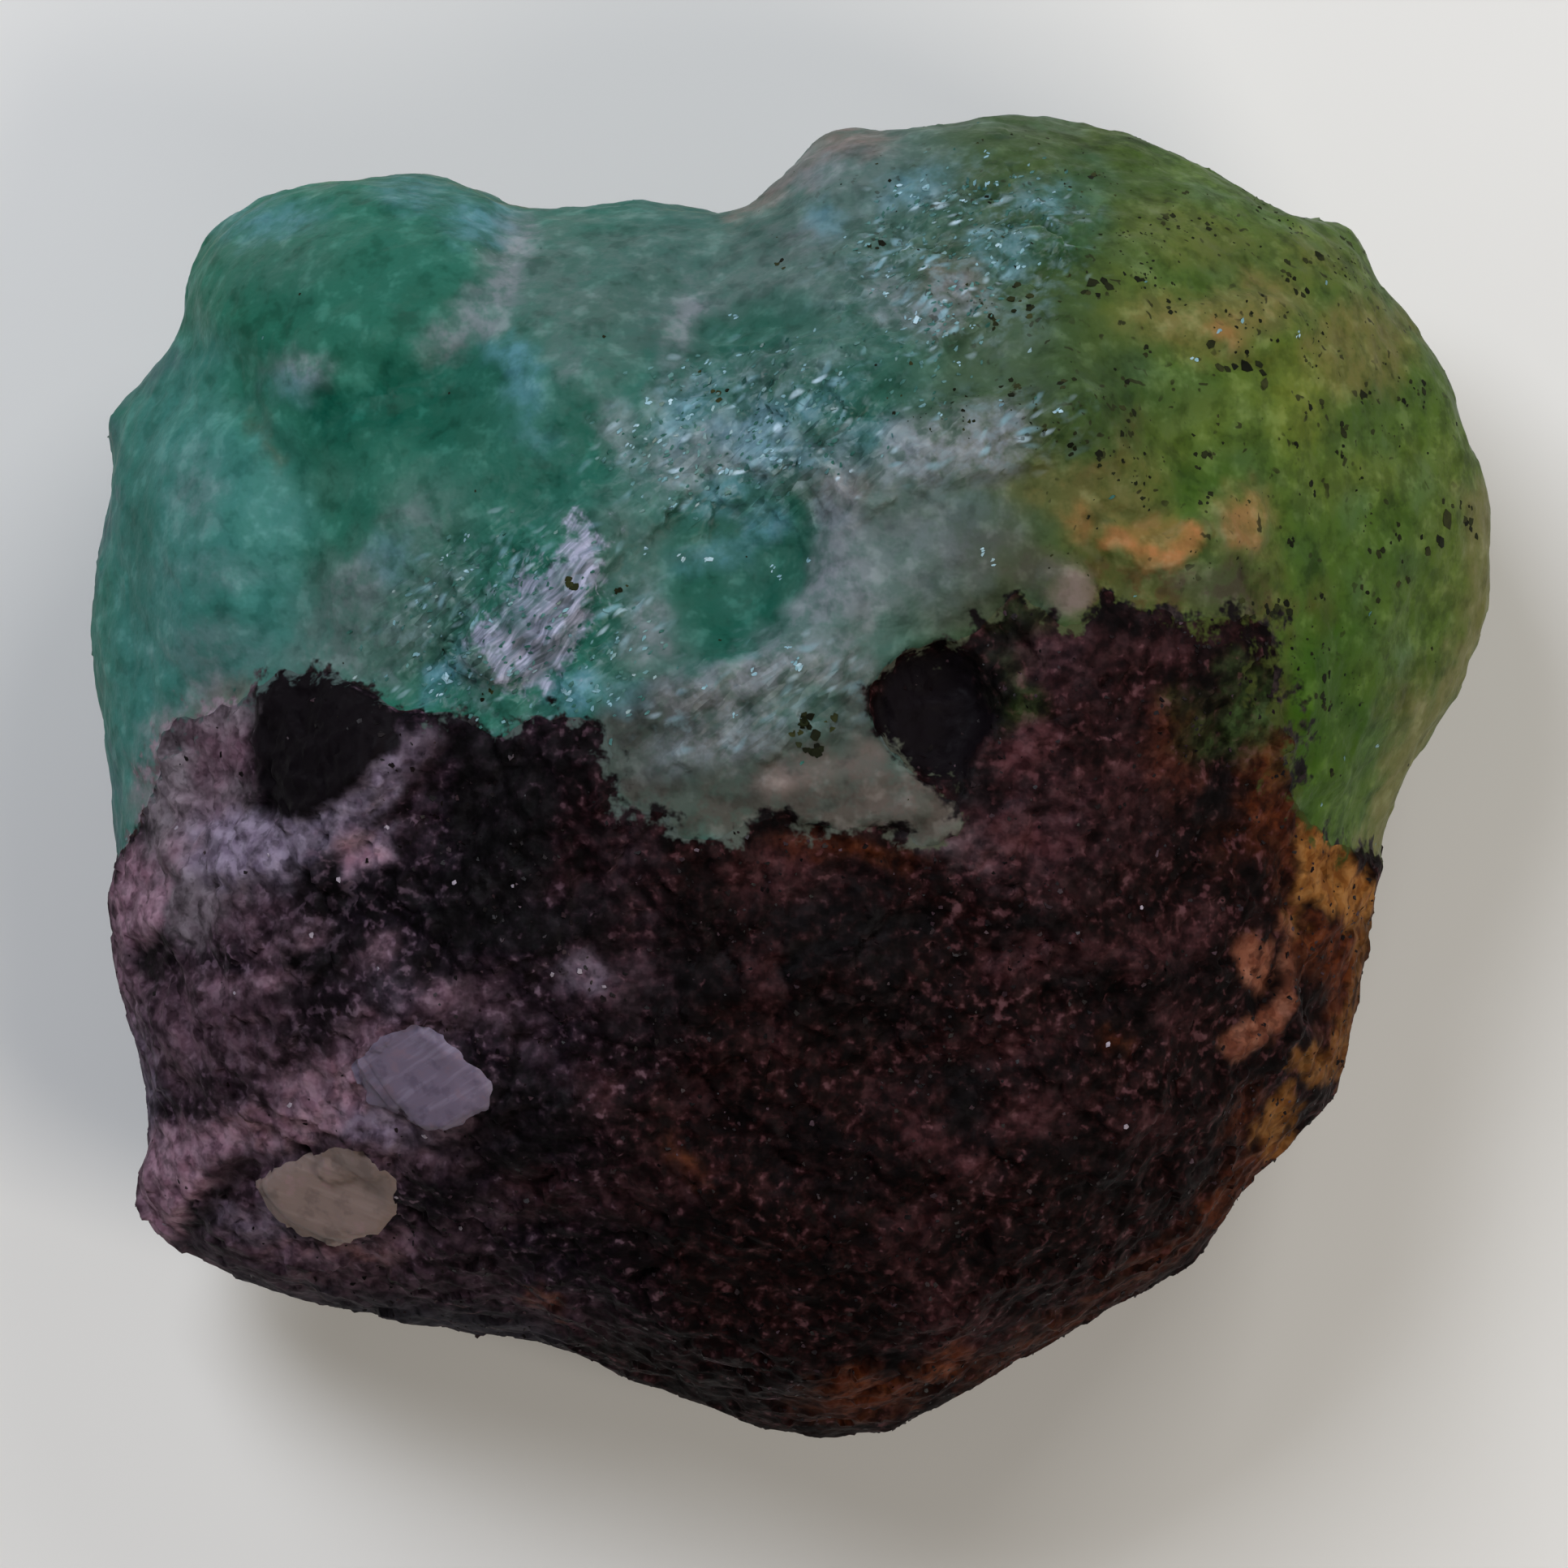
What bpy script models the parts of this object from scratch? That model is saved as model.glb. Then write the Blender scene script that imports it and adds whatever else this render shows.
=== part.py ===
"""Rough emerald on its mica schist, as broken out of the vein.

Milky green beryl makes the back half of the stone and dark, foliated schist the front
half. Two feldspar grains sit in the schist. The stone lies on the flat parting face
that it broke along. Metres, +Z up, +Y towards the emerald's free edge. The origin is the
middle of the footprint, on the surface that the stone rests on.
"""

import math

import bmesh
import bpy
import numpy as np
from mathutils import Matrix, Vector, noise

MM = 0.001

# Driving dimensions of the whole stone.
WIDTH = 46.0 * MM  # X
DEPTH = 43.3 * MM  # Y
HEIGHT = 23.0 * MM  # Z
GAP = 0.3 * MM  # left between two minerals that touch

# Outline seen from above, in mm, anticlockwise from the right-hand corner.
OUTLINE = (
    (23.0, 9.3), (22.3, 11.0), (21.5, 12.9), (20.5, 14.8), (19.1, 16.4), (18.5, 17.7),
    (17.8, 18.4), (16.8, 18.0), (15.2, 19.0), (13.6, 20.0), (11.4, 21.0), (8.8, 21.4),
    (7.0, 21.7), (5.1, 21.3), (3.5, 21.1), (2.0, 21.2), (0.9, 20.9), (0.3, 20.0),
    (-0.7, 18.9), (-1.8, 18.3), (-3.2, 18.7), (-4.8, 18.9), (-7.2, 18.6), (-8.8, 18.7),
    (-10.4, 19.4), (-12.2, 19.9), (-13.3, 19.7), (-15.3, 19.4), (-17.2, 18.9),
    (-18.8, 17.7), (-19.6, 16.1), (-20.0, 14.2), (-21.7, 12.8), (-22.6, 11.8),
    (-22.0, 10.4), (-22.3, 8.8), (-22.8, 6.6), (-23.0, 4.5), (-22.6, 2.4), (-22.1, -0.3),
    (-21.9, -2.7), (-22.1, -4.3), (-22.0, -6.4), (-21.3, -8.5), (-20.9, -10.7),
    (-20.9, -12.3), (-21.2, -13.9), (-20.4, -15.2), (-18.5, -16.2), (-15.8, -17.1),
    (-12.6, -17.7), (-9.3, -18.2), (-7.2, -18.6), (-5.6, -19.5), (-3.2, -20.3),
    (-0.8, -21.3), (1.1, -21.6), (3.2, -21.4), (5.1, -20.5), (7.7, -18.8), (10.9, -17.1),
    (13.6, -15.5), (14.5, -13.6), (16.3, -11.9), (17.9, -10.3), (18.3, -8.8),
    (18.7, -6.4), (19.1, -4.0), (19.4, -1.9), (19.8, -0.1), (20.8, 1.3), (22.1, 3.5),
    (22.9, 5.6), (22.8, 7.4),
)  # fmt: skip

# Height of the widest line round the stone, in mm, at each direction in degrees.
RIM_HEIGHTS = (
    (0, 8.5), (40, 9.5), (90, 10.5), (130, 8.0), (165, 7.0), (200, 7.5), (235, 6.0),
    (270, 5.0), (310, 6.5), (340, 7.5),
)  # fmt: skip

# Broad planes that the upper face broke along: height in mm over the origin, then rise
# in mm per mm along X and along Y.
FACE_PLANES = (
    (22.6, 0.03, 0.05),
    (27.4, -0.52, 0.04),
    (25.2, 0.40, -0.10),
    (31.0, 0.10, -0.66),
    (25.6, 0.06, 0.30),
    (29.0, 0.40, 0.42),
    (32.5, -0.62, 0.34),
)
FACE_BLEND = 0.7  # mm over which two planes round into each other
FACE_SQUARENESS = 3.4  # 2 is a plain ellipse in side view, and more is boxier
FLANK_SQUARENESS = 2.8
BELOW_BASE = 2.6  # mm of the round underside that the parting face takes off
RIM_SHARE = 4  # the outline's small notches fade out this fast away from the rim

# Swells (+) and hollows (-) of the upper face, in mm: x, y, half length, half width,
# turn of the length from X in degrees, height.
SWELLS = (
    (-14.8, 15.6, 4.6, 3.4, 5, 2.2),  # round lobe at the back left
    (-18.6, 6.6, 3.0, 4.6, 0, 1.5),  # second lobe, along the left edge
    (-13.0, 7.6, 2.6, 2.0, 30, 0.9),
    (-2.6, 15.4, 2.0, 4.2, -25, -1.8),  # trough that runs in from the back notch
    (-5.6, 13.2, 2.4, 1.8, 20, 0.9),
    (-1.8, 7.0, 3.4, 2.4, 25, -1.5),  # glassy hollow in the middle
    (2.4, 13.0, 3.2, 2.2, 40, 0.9),
    (1.6, 20.2, 1.8, 1.6, 0, 1.3),  # knob beside the back notch
    (17.4, 17.0, 1.6, 1.6, 0, 1.0),  # knob on the back right edge
    (15.2, 10.6, 2.2, 3.2, -15, 0.9),
    (5.3, 3.2, 2.1, 2.5, 0, -2.2),  # pit where a mica book fell out
    (-14.9, 1.4, 2.5, 1.9, -20, 1.0),  # black mica book on the left
    (-17.2, -6.2, 3.2, 2.6, -30, 0.9),
    (12.4, 2.4, 3.2, 2.8, 20, 0.8),  # schist that climbs the ridge
    (3.2, -8.6, 5.0, 3.0, 25, -1.0),  # worn hollow in the schist
    (-5.2, -12.6, 4.6, 2.0, -20, 0.9),
    (11.0, -10.6, 3.6, 2.6, 35, 0.8),
    (4.0, -15.4, 3.4, 1.8, 20, 0.7),
    (19.6, 5.4, 1.9, 4.2, -8, 0.7),
)

# Ribs (+) and grooves (-) that follow a line: its points in mm, half width, height.
RIBS = (
    (((6.9, 20.4), (9.3, 15.5), (9.9, 10.5), (13.6, 7.2), (16.6, 0.4)), 1.5, 1.3),
    (((-5.7, 8.7), (-7.2, 6.0), (-9.6, 3.4)), 0.9, 1.0),
    (((9.2, 12.2), (5.2, 10.4), (1.6, 8.6), (0.8, 4.8), (-3.4, 2.4), (-4.6, 0.4)), 1.0, 1.0),
    (((12.6, 9.8), (10.6, 6.6), (8.0, 6.4)), 0.8, -0.8),
    (((-21.6, 13.3), (-17.4, 12.2), (-13.4, 11.8), (-9.8, 12.8)), 1.1, -1.5),
    (((-8.0, 18.8), (-8.8, 15.8), (-10.6, 13.4)), 1.0, -1.2),
    (((-17.0, 12.0), (-15.6, 8.4), (-16.4, 3.6)), 0.8, -0.9),
    (((-21.0, -1.6), (-15.8, -2.0), (-12.4, 1.2), (-11.2, 1.4)), 0.8, 0.8),
    (((17.4, -5.2), (16.9, -7.4), (14.9, -8.9)), 0.7, 1.0),
    (((-8.8, -9.2), (-3.0, -4.6), (2.6, -3.4)), 0.9, -0.7),
)  # fmt: skip

# Parting ledges: the schist steps down across its layers.
LAYER_TURN = math.radians(-28)  # strike of the layers in plan, from X
LAYER_STEP = 4.3 * MM  # mean distance between ledges
LAYER_DROP = 0.75 * MM

# Flat chips off the flanks and the underside: azimuth and elevation of the chip's
# outward direction in degrees, then its distance from the stone's middle in mm.
CHIPS = (
    (18, -46, 16.4), (64, -34, 19.6), (96, -50, 16.2), (132, -36, 20.0), (168, -44, 17.4),
    (204, -34, 20.2), (238, -48, 16.4), (282, -38, 18.2), (322, -34, 18.8), (352, -30, 20.6),
    (308, 42, 19.6), (350, 36, 21.4), (128, 44, 20.6), (250, 40, 20.2), (60, 46, 20.8),
)  # fmt: skip
CHIP_MIDDLE = Vector((0.0, 0.0, 9.0)) * MM
CHIP_KEEP = 0.15  # share of the bulge that a chip leaves, so that it isn't a saw cut

# Where the schist stops against the emerald, on the upper face, in mm, left to right.
CONTACT = (
    (-27.0, -3.4), (-23.4, -3.0), (-21.9, -2.7), (-20.9, -0.8), (-20.1, 0.8), (-19.1, 2.1),
    (-16.9, 3.1), (-14.7, 3.4), (-13.2, 3.0), (-12.2, 2.1), (-10.9, 1.8), (-9.4, 1.4),
    (-8.2, 1.8), (-6.9, 2.3), (-5.8, 1.8), (-5.3, 0.8), (-4.3, -0.4), (-3.1, -1.3),
    (-1.6, -1.5), (-0.3, -1.2), (1.1, -1.3), (2.6, -1.6), (3.8, -1.1), (3.7, 0.4),
    (2.9, 2.0), (3.1, 3.5), (4.0, 4.6), (5.3, 5.3), (6.9, 5.7), (8.2, 5.4), (9.7, 5.7),
    (11.6, 5.5), (13.1, 5.6), (14.5, 6.2), (15.4, 4.8), (15.0, 2.9), (14.6, 1.4),
    (15.9, 0.8), (16.4, -1.1), (17.5, -2.0), (19.2, -2.7), (22.6, -3.1), (27.0, -3.4),
)  # fmt: skip
CONTACT_LEAN = 0.16  # mm towards +Y for each mm down, so the schist also backs the emerald
CONTACT_ROUGH = 1.8 * MM
CONTACT_LEVELS = 10

# Feldspar grains in the schist: corners in plan in mm, and how far each stands proud.
GREY_GRAIN = (
    (-13.8, -8.7), (-12.9, -9.9), (-12.1, -10.8), (-11.1, -11.2), (-9.7, -10.6),
    (-9.4, -9.4), (-11.0, -8.6), (-12.1, -7.8), (-13.3, -8.0),
)  # fmt: skip
TAN_GRAIN = (
    (-17.1, -13.1), (-16.2, -14.3), (-14.9, -14.9), (-13.8, -14.9), (-12.8, -14.5),
    (-12.4, -13.5), (-12.6, -12.7), (-13.5, -12.0), (-15.0, -11.8), (-16.3, -12.4),
)  # fmt: skip
GRAIN_DEPTH = 3.0 * MM
GRAIN_PROUD = 0.35 * MM
GRAIN_TAPER = 0.80  # width of a grain's buried end over its face
GRAIN_BEVEL = 0.25 * MM


def at_angle(table, angle):
    """Reads a table of (degrees, value) all round the circle."""
    degrees, values = zip(*table)
    return np.interp(np.degrees(angle), degrees, values, period=360)


def outline_radius(angle):
    """Distance from the middle to the outline, in metres."""
    x, y = np.array(OUTLINE).T
    turns = np.degrees(np.arctan2(y, x))
    return np.interp(np.degrees(angle), turns, np.hypot(x, y), period=360) * MM


def plan_radius(angle, across):
    """The outline at the rim, which smooths to its broad shape towards the middle."""
    window = np.radians(np.arange(-14, 15, 4))
    broad = np.mean([outline_radius(angle + turn) for turn in window], axis=0)
    share = across**RIM_SHARE
    return outline_radius(angle) * share + broad * (1 - share)


def rough(points, size, seed):
    """Smooth noise from -1 to 1 at each point, with lumps of about this size."""
    shift = Vector((seed * 7.3, seed * 3.1, seed * 5.7))
    return np.array([noise.noise(Vector(p) / size + shift) for p in points])


def distance_to_line(x, y, line):
    """Distance in plan from each point to a chain of straight pieces."""
    nearest = np.full(x.shape, np.inf)
    for (ax, ay), (bx, by) in zip(line, line[1:]):
        dx, dy = bx - ax, by - ay
        share = np.clip(((x - ax) * dx + (y - ay) * dy) / (dx * dx + dy * dy), 0, 1)
        nearest = np.minimum(nearest, np.hypot(x - ax - share * dx, y - ay - share * dy))
    return nearest


def face_height(x, y):
    """Height of the upper face before it rounds off at the rim. All in mm."""
    planes = np.array([h + gx * x + gy * y for h, gx, gy in FACE_PLANES])
    height = -FACE_BLEND * np.log(np.exp(-planes / FACE_BLEND).sum(axis=0))
    for cx, cy, length, width, turn, rise in SWELLS:
        c, s = math.cos(math.radians(turn)), math.sin(math.radians(turn))
        u = ((x - cx) * c + (y - cy) * s) / length
        v = ((y - cy) * c - (x - cx) * s) / width
        height = height + rise * np.exp(-(u * u + v * v))
    for line, width, rise in RIBS:
        height = height + rise * np.exp(-((distance_to_line(x, y, line) / width) ** 2))
    return height


def ledges(points):
    """How far the layers' steps take each point of the schist's face down, in metres."""
    across = points[:, 1] * math.cos(LAYER_TURN) - points[:, 0] * math.sin(LAYER_TURN)
    across = across + 1.3 * MM * rough(points, 6.0 * MM, 4)
    step = np.mod(across / LAYER_STEP, 1.0)
    on_schist = np.clip((2.0 * MM - points[:, 1]) / (4.0 * MM), 0, 1)
    return LAYER_DROP * np.minimum(step / 0.7, (1 - step) / 0.3) * on_schist


def stone_points(directions):
    """Places the unit sphere's points on the stone's surface."""
    ux, uy, uz = directions.T
    angle = np.arctan2(uy, ux)
    across, up = np.hypot(ux, uy), np.abs(uz)
    squareness = np.where(uz > 0, FACE_SQUARENESS, FLANK_SQUARENESS)
    reach = plan_radius(angle, across) * across ** (2 / squareness)
    x, y = reach * np.cos(angle), reach * np.sin(angle)
    rim = at_angle(RIM_HEIGHTS, angle) * MM
    top = face_height(x / MM, y / MM) * MM
    above = rim + (top - rim) * up ** (2 / 2.3)
    below = rim - (rim + BELOW_BASE * MM) * up ** (2 / 2.3)
    return np.column_stack((x, y, np.where(uz > 0, above, below)))


def roughen(points, directions):
    """Lumps, ledges and chips. The outline itself keeps its line."""
    level = np.abs(directions[:, 2])
    lumps = 0.75 * MM * rough(points, 7.0 * MM, 1) + 0.42 * MM * rough(points, 3.0 * MM, 2)
    away = directions * np.column_stack((level, level, np.ones_like(level)))
    moved = points + away * (lumps * np.clip(level * 4, 0.15, 1))[:, None]
    moved[:, 2] -= ledges(points) * np.clip(directions[:, 2] * 3, 0, 1)
    for azimuth, elevation, distance in CHIPS:
        a, e = math.radians(azimuth), math.radians(elevation)
        out = np.array((math.cos(a) * math.cos(e), math.sin(a) * math.cos(e), math.sin(e)))
        past = (moved - np.array(CHIP_MIDDLE)) @ out - distance * MM
        depth = np.clip(past, 0, None) * (1 - CHIP_KEEP) * np.clip(level * 4, 0, 1)
        moved -= np.outer(depth, out)
    return moved


def fitted(points):
    """Scales and centres the points so that the stone has its driving dimensions."""
    low, high = points.min(axis=0), points.max(axis=0)
    plan = (points[:, :2] - (low + high)[:2] / 2) * (np.array((WIDTH, DEPTH)) / (high - low)[:2])
    return np.column_stack((plan, points[:, 2] * HEIGHT / high[2]))


def new_object(bm, name, collection):
    """Makes a bmesh into an object of this collection."""
    bmesh.ops.recalc_face_normals(bm, faces=bm.faces)
    mesh = bpy.data.meshes.new(name)
    bm.to_mesh(mesh)
    bm.free()
    made = bpy.data.objects.new(name, mesh)
    collection.objects.link(made)
    return made


def whole_stone(collection):
    """The unbroken stone: a sphere shaped by the functions above, cut flat underneath."""
    bm = bmesh.new()
    bmesh.ops.create_icosphere(bm, subdivisions=4, radius=1.0)
    # Twice as fine above the underside, and twice again at the outline and the middle.
    for low, high in ((-0.42, 1.1), (-0.09, 0.09), (0.86, 1.1)):
        edges = [e for e in bm.edges if all(low < v.co.z / v.co.length < high for v in e.verts)]
        bmesh.ops.subdivide_edges(bm, edges=edges, cuts=1, use_grid_fill=True)
    bmesh.ops.triangulate(bm, faces=bm.faces)
    directions = np.array([v.co.normalized() for v in bm.verts])
    for vertex, place in zip(bm.verts, roughen(stone_points(directions), directions)):
        vertex.co = place
    inner = [v for v, level in zip(bm.verts, np.abs(directions[:, 2])) if level > 0.05]
    axes = {"use_axis_x": True, "use_axis_y": True, "use_axis_z": True}
    bmesh.ops.smooth_vert(bm, verts=inner, factor=0.5, **axes)
    for vertex, place in zip(bm.verts, fitted(np.array([v.co for v in bm.verts]))):
        vertex.co = place
    cut = bmesh.ops.bisect_plane(
        bm,
        geom=bm.verts[:] + bm.edges[:] + bm.faces[:],
        dist=0.01 * MM,
        plane_co=(0, 0, 0),
        plane_no=(0, 0, 1),
        clear_inner=True,
    )
    rim = [e for e in cut["geom_cut"] if isinstance(e, bmesh.types.BMEdge)]
    bmesh.ops.contextual_create(bm, geom=rim)
    return new_object(bm, "whole_stone", collection)


def contact_corners():
    """Plan of the schist's side of the stone, clockwise, with each corner's way out."""
    corners = [Vector(p) * MM for p in CONTACT]
    corners += [Vector((27.0, -30.0)) * MM, Vector((-27.0, -30.0)) * MM]
    for i, corner in enumerate(corners):
        along = (corners[(i + 1) % len(corners)] - corners[i - 1]).normalized()
        yield corner, Vector((-along.y, along.x))


def schist_block(name, grow, collection):
    """A tall block whose back wall is the contact, moved out by grow.

    It shapes both minerals, so the wall wanders by the same amount whatever grow is.
    """
    corners = list(contact_corners())
    bm = bmesh.new()
    ring = bmesh.ops.create_circle(bm, cap_ends=True, segments=len(corners), radius=1.0)
    for vertex, (place, _) in zip(ring["verts"], reversed(corners)):
        vertex.co = (place.x, place.y, -3.0 * MM)
    top = bm.faces[:]
    for level in range(CONTACT_LEVELS):
        made = bmesh.ops.extrude_face_region(bm, geom=top)["geom"]
        if level:
            bmesh.ops.delete(bm, geom=top, context="FACES_ONLY")
        top = [f for f in made if isinstance(f, bmesh.types.BMFace)]
        raised = [v for v in made if isinstance(v, bmesh.types.BMVert)]
        bmesh.ops.translate(bm, verts=raised, vec=(0, 0, 30.0 * MM / CONTACT_LEVELS))
    bmesh.ops.triangulate(bm, faces=bm.faces, quad_method="FIXED", ngon_method="EAR_CLIP")
    for vertex in bm.verts:
        deep = max(HEIGHT - vertex.co.z, 0)
        _, outwards = min(corners, key=lambda c: (c[0] - vertex.co.xy).length)
        wander = CONTACT_ROUGH * noise.noise(vertex.co / (4.5 * MM)) * min(deep / (4 * MM), 1)
        vertex.co.xy += outwards * grow
        vertex.co.y += CONTACT_LEAN * deep + wander
    return new_object(bm, name, collection)


def grain(name, corners, grow, collection, stone):
    """A feldspar grain: a tapered block with bevelled edges, level with the face round it.

    grow makes the pocket for it, which is wider and deeper and runs out of the face.
    """
    middle = sum((Vector(c) for c in corners), Vector((0, 0))) / len(corners) * MM
    plan = [Vector(c) * MM - middle for c in corners]
    _, place, normal, _ = stone.ray_cast((middle.x, middle.y, 2 * HEIGHT), (0, 0, -1))
    lean = Vector((0, 0, 1)).rotation_difference(normal.lerp(Vector((0, 0, 1)), 0.4))
    bm = bmesh.new()
    ring = bmesh.ops.create_circle(bm, cap_ends=True, segments=len(plan), radius=1.0)["verts"]
    top_level = GRAIN_PROUD + (4.0 * MM if grow else 0)
    for vertex, point in zip(ring, plan):
        wide = point * (1 + grow / point.length)
        vertex.co = (wide.x, wide.y, -GRAIN_DEPTH - grow)
    base = bm.faces[:]
    made = bmesh.ops.extrude_face_region(bm, geom=base)["geom"]
    raised = [v for v in made if isinstance(v, bmesh.types.BMVert)]
    bmesh.ops.translate(bm, verts=raised, vec=(0, 0, GRAIN_DEPTH + grow + top_level))
    for vertex in set(bm.verts) - set(raised):
        vertex.co.xy = vertex.co.xy * GRAIN_TAPER
    if not grow:
        edges = [e for e in bm.edges if not e.is_wire]
        bmesh.ops.bevel(bm, geom=edges, offset=GRAIN_BEVEL, segments=1, affect="EDGES")
    stand = Matrix.Translation(place) @ lean.to_matrix().to_4x4()
    bmesh.ops.transform(bm, matrix=stand, verts=bm.verts)
    return new_object(bm, name, collection)


def boolean(target, cutter, operation):
    modifier = target.modifiers.new(f"{operation.lower()}_{cutter.name}", "BOOLEAN")
    modifier.object, modifier.operation, modifier.solver = cutter, operation, "EXACT"


def as_helper(shape):
    shape.hide_render = True
    shape.display_type = "WIRE"


def material(name, colour, roughness, transmission=0.0):
    made = bpy.data.materials.new(name)
    made.use_nodes = True
    shader = made.node_tree.nodes["Principled BSDF"]
    shader.inputs["Base Color"].default_value = (*colour, 1.0)
    shader.inputs["Roughness"].default_value = roughness
    shader.inputs["Metallic"].default_value = 0.0
    shader.inputs["Transmission Weight"].default_value = transmission
    return made


def main():
    for old in list(bpy.data.objects):
        bpy.data.objects.remove(old)
    parts = bpy.data.collections.new("rough_emerald")
    cutters = bpy.data.collections.new("cutters")
    for collection in (parts, cutters):
        bpy.context.scene.collection.children.link(collection)

    stone = whole_stone(cutters)
    schist_side = schist_block("schist_side", -GAP / 2, cutters)
    emerald_side = schist_block("emerald_side", GAP / 2, cutters)

    emerald = bpy.data.objects.new("emerald", stone.data.copy())
    schist = bpy.data.objects.new("mica_schist_matrix", stone.data.copy())
    parts.objects.link(emerald)
    parts.objects.link(schist)
    boolean(emerald, emerald_side, "DIFFERENCE")
    boolean(schist, schist_side, "INTERSECT")

    emerald.data.materials.append(material("beryl", (0.06, 0.26, 0.15), 0.3, 0.3))
    schist.data.materials.append(material("mica_schist", (0.02, 0.014, 0.013), 0.55))
    feldspar = {
        "feldspar_grain_grey": (GREY_GRAIN, (0.22, 0.22, 0.27)),
        "feldspar_grain_tan": (TAN_GRAIN, (0.22, 0.19, 0.13)),
    }
    bpy.context.view_layer.update()
    for name, (corners, colour) in feldspar.items():
        made = grain(name, corners, 0, parts, stone)
        made.data.materials.append(material(name, colour, 0.45))
        pocket = grain(f"pocket_{name}", corners, GAP, cutters, stone)
        boolean(schist, pocket, "DIFFERENCE")
        as_helper(pocket)
    for helper in (stone, schist_side, emerald_side):
        as_helper(helper)


main()
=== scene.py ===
# %% [markdown]
# # A rough emerald on mica schist
#
# This stone broke out of a vein: milky green beryl, which is emerald, grew against a dark rock
# called mica schist, and two feldspar grains are locked in the schist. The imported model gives
# each mineral as a plain solid. This lesson dresses those solids with the relief, the colour
# and the loose mica that make a stone look like a stone.

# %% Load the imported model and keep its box
import math

import bmesh
import bpy
import numpy as np
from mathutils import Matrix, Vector, noise
from mathutils.bvhtree import BVHTree
from mathutils.kdtree import KDTree


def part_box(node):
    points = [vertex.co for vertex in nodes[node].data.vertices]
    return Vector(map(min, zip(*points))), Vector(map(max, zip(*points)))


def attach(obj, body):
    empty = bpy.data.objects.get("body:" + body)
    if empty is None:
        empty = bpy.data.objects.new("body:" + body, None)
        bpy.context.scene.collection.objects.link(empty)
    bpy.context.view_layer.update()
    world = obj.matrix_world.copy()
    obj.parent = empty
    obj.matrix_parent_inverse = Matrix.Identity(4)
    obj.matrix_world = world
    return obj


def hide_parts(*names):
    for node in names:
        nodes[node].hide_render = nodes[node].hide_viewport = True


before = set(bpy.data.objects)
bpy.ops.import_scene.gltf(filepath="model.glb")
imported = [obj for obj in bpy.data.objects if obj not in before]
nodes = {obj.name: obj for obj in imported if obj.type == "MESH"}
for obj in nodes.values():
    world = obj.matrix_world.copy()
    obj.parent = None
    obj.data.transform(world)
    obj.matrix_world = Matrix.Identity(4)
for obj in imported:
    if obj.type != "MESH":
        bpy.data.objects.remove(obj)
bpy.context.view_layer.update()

MM = 0.001

# %% [markdown]
# ## One skin for the whole stone
#
# The two minerals grew together, so no groove runs between them. The solids do leave a gap
# of 0.3 mm. The way round it is to thicken copies of all the solids until they meet,
# remesh them into one skin, and thin that skin by the same amount. Voxel remesh gives even,
# small quads all over, which is what the fine relief needs later. Sculpting on the solids
# themselves would tear at the gap.

# %% Close the gap and remesh
CLOSING = 0.22 * MM  # how far the copies are thickened; over half of the gap
GRAIN = 0.165 * MM  # edge length of the skin's quads
SKIN_SMOOTHING = 22


def vertex_table(mesh, what="co"):
    """Reads one vector per vertex of a mesh into a table of rows."""
    rows = np.empty(len(mesh.vertices) * 3, np.float32)
    source = mesh.vertices if what == "co" else mesh.vertex_normals
    source.foreach_get("co" if what == "co" else "vector", rows)
    return rows.reshape(-1, 3).astype(float)


def move_vertices(mesh, rows):
    mesh.vertices.foreach_set("co", np.asarray(rows, np.float32).ravel())
    mesh.update()


def store(mesh, name, values):
    """Stores one number per vertex for the materials to read."""
    layer = mesh.attributes.new(name, "FLOAT", "POINT")
    layer.data.foreach_set("value", np.asarray(values, np.float32))


def thickened(node_names, amount):
    """One mesh of several solids, with each pushed out along its normals."""
    bm = bmesh.new()
    for name in node_names:
        start = len(bm.verts)
        bm.from_mesh(nodes[name].data)
        bm.verts.ensure_lookup_table()
        bmesh.ops.remove_doubles(bm, verts=bm.verts[start:], dist=0.001 * MM)
    bm.normal_update()
    for vertex, out in [(v, v.normal.copy()) for v in bm.verts]:
        vertex.co += out * amount
    mesh = bpy.data.meshes.new("thickened_solids")
    bm.to_mesh(mesh)
    bm.free()
    return mesh


def with_modifiers(mesh, *steps, group=None):
    """Runs modifiers, given as (kind, settings), over a mesh and returns the result."""
    carrier = bpy.data.objects.new("carrier", mesh)
    if group is not None:
        carrier.vertex_groups.new(name="group").add(group, 1.0, "REPLACE")
    bpy.context.scene.collection.objects.link(carrier)
    for kind, settings in steps:
        modifier = carrier.modifiers.new(kind.lower(), kind)
        for key, value in settings.items():
            setattr(modifier, key, value)
    depsgraph = bpy.context.evaluated_depsgraph_get()
    result = bpy.data.meshes.new_from_object(carrier.evaluated_get(depsgraph))
    bpy.data.objects.remove(carrier)
    return result


skin = with_modifiers(
    thickened(sorted(nodes), CLOSING),
    ("REMESH", {"mode": "VOXEL", "voxel_size": GRAIN, "adaptivity": 0.0}),
    ("SMOOTH", {"factor": 0.5, "iterations": SKIN_SMOOTHING}),
    ("TRIANGULATE", {}),
)
move_vertices(skin, vertex_table(skin) - vertex_table(skin, "normal") * CLOSING)
print("skin:", len(skin.vertices), "points,", len(skin.polygons), "faces")

# %% [markdown]
# ## Which mineral is where
#
# Every point of the skin belongs to the solid nearest to it. The difference between the
# distances to two solids is a signed distance from the contact, so it also says how far a
# point is inside its mineral. Noise added to it makes the contact ragged, as it is where
# mica plates bite into the beryl.

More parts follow.
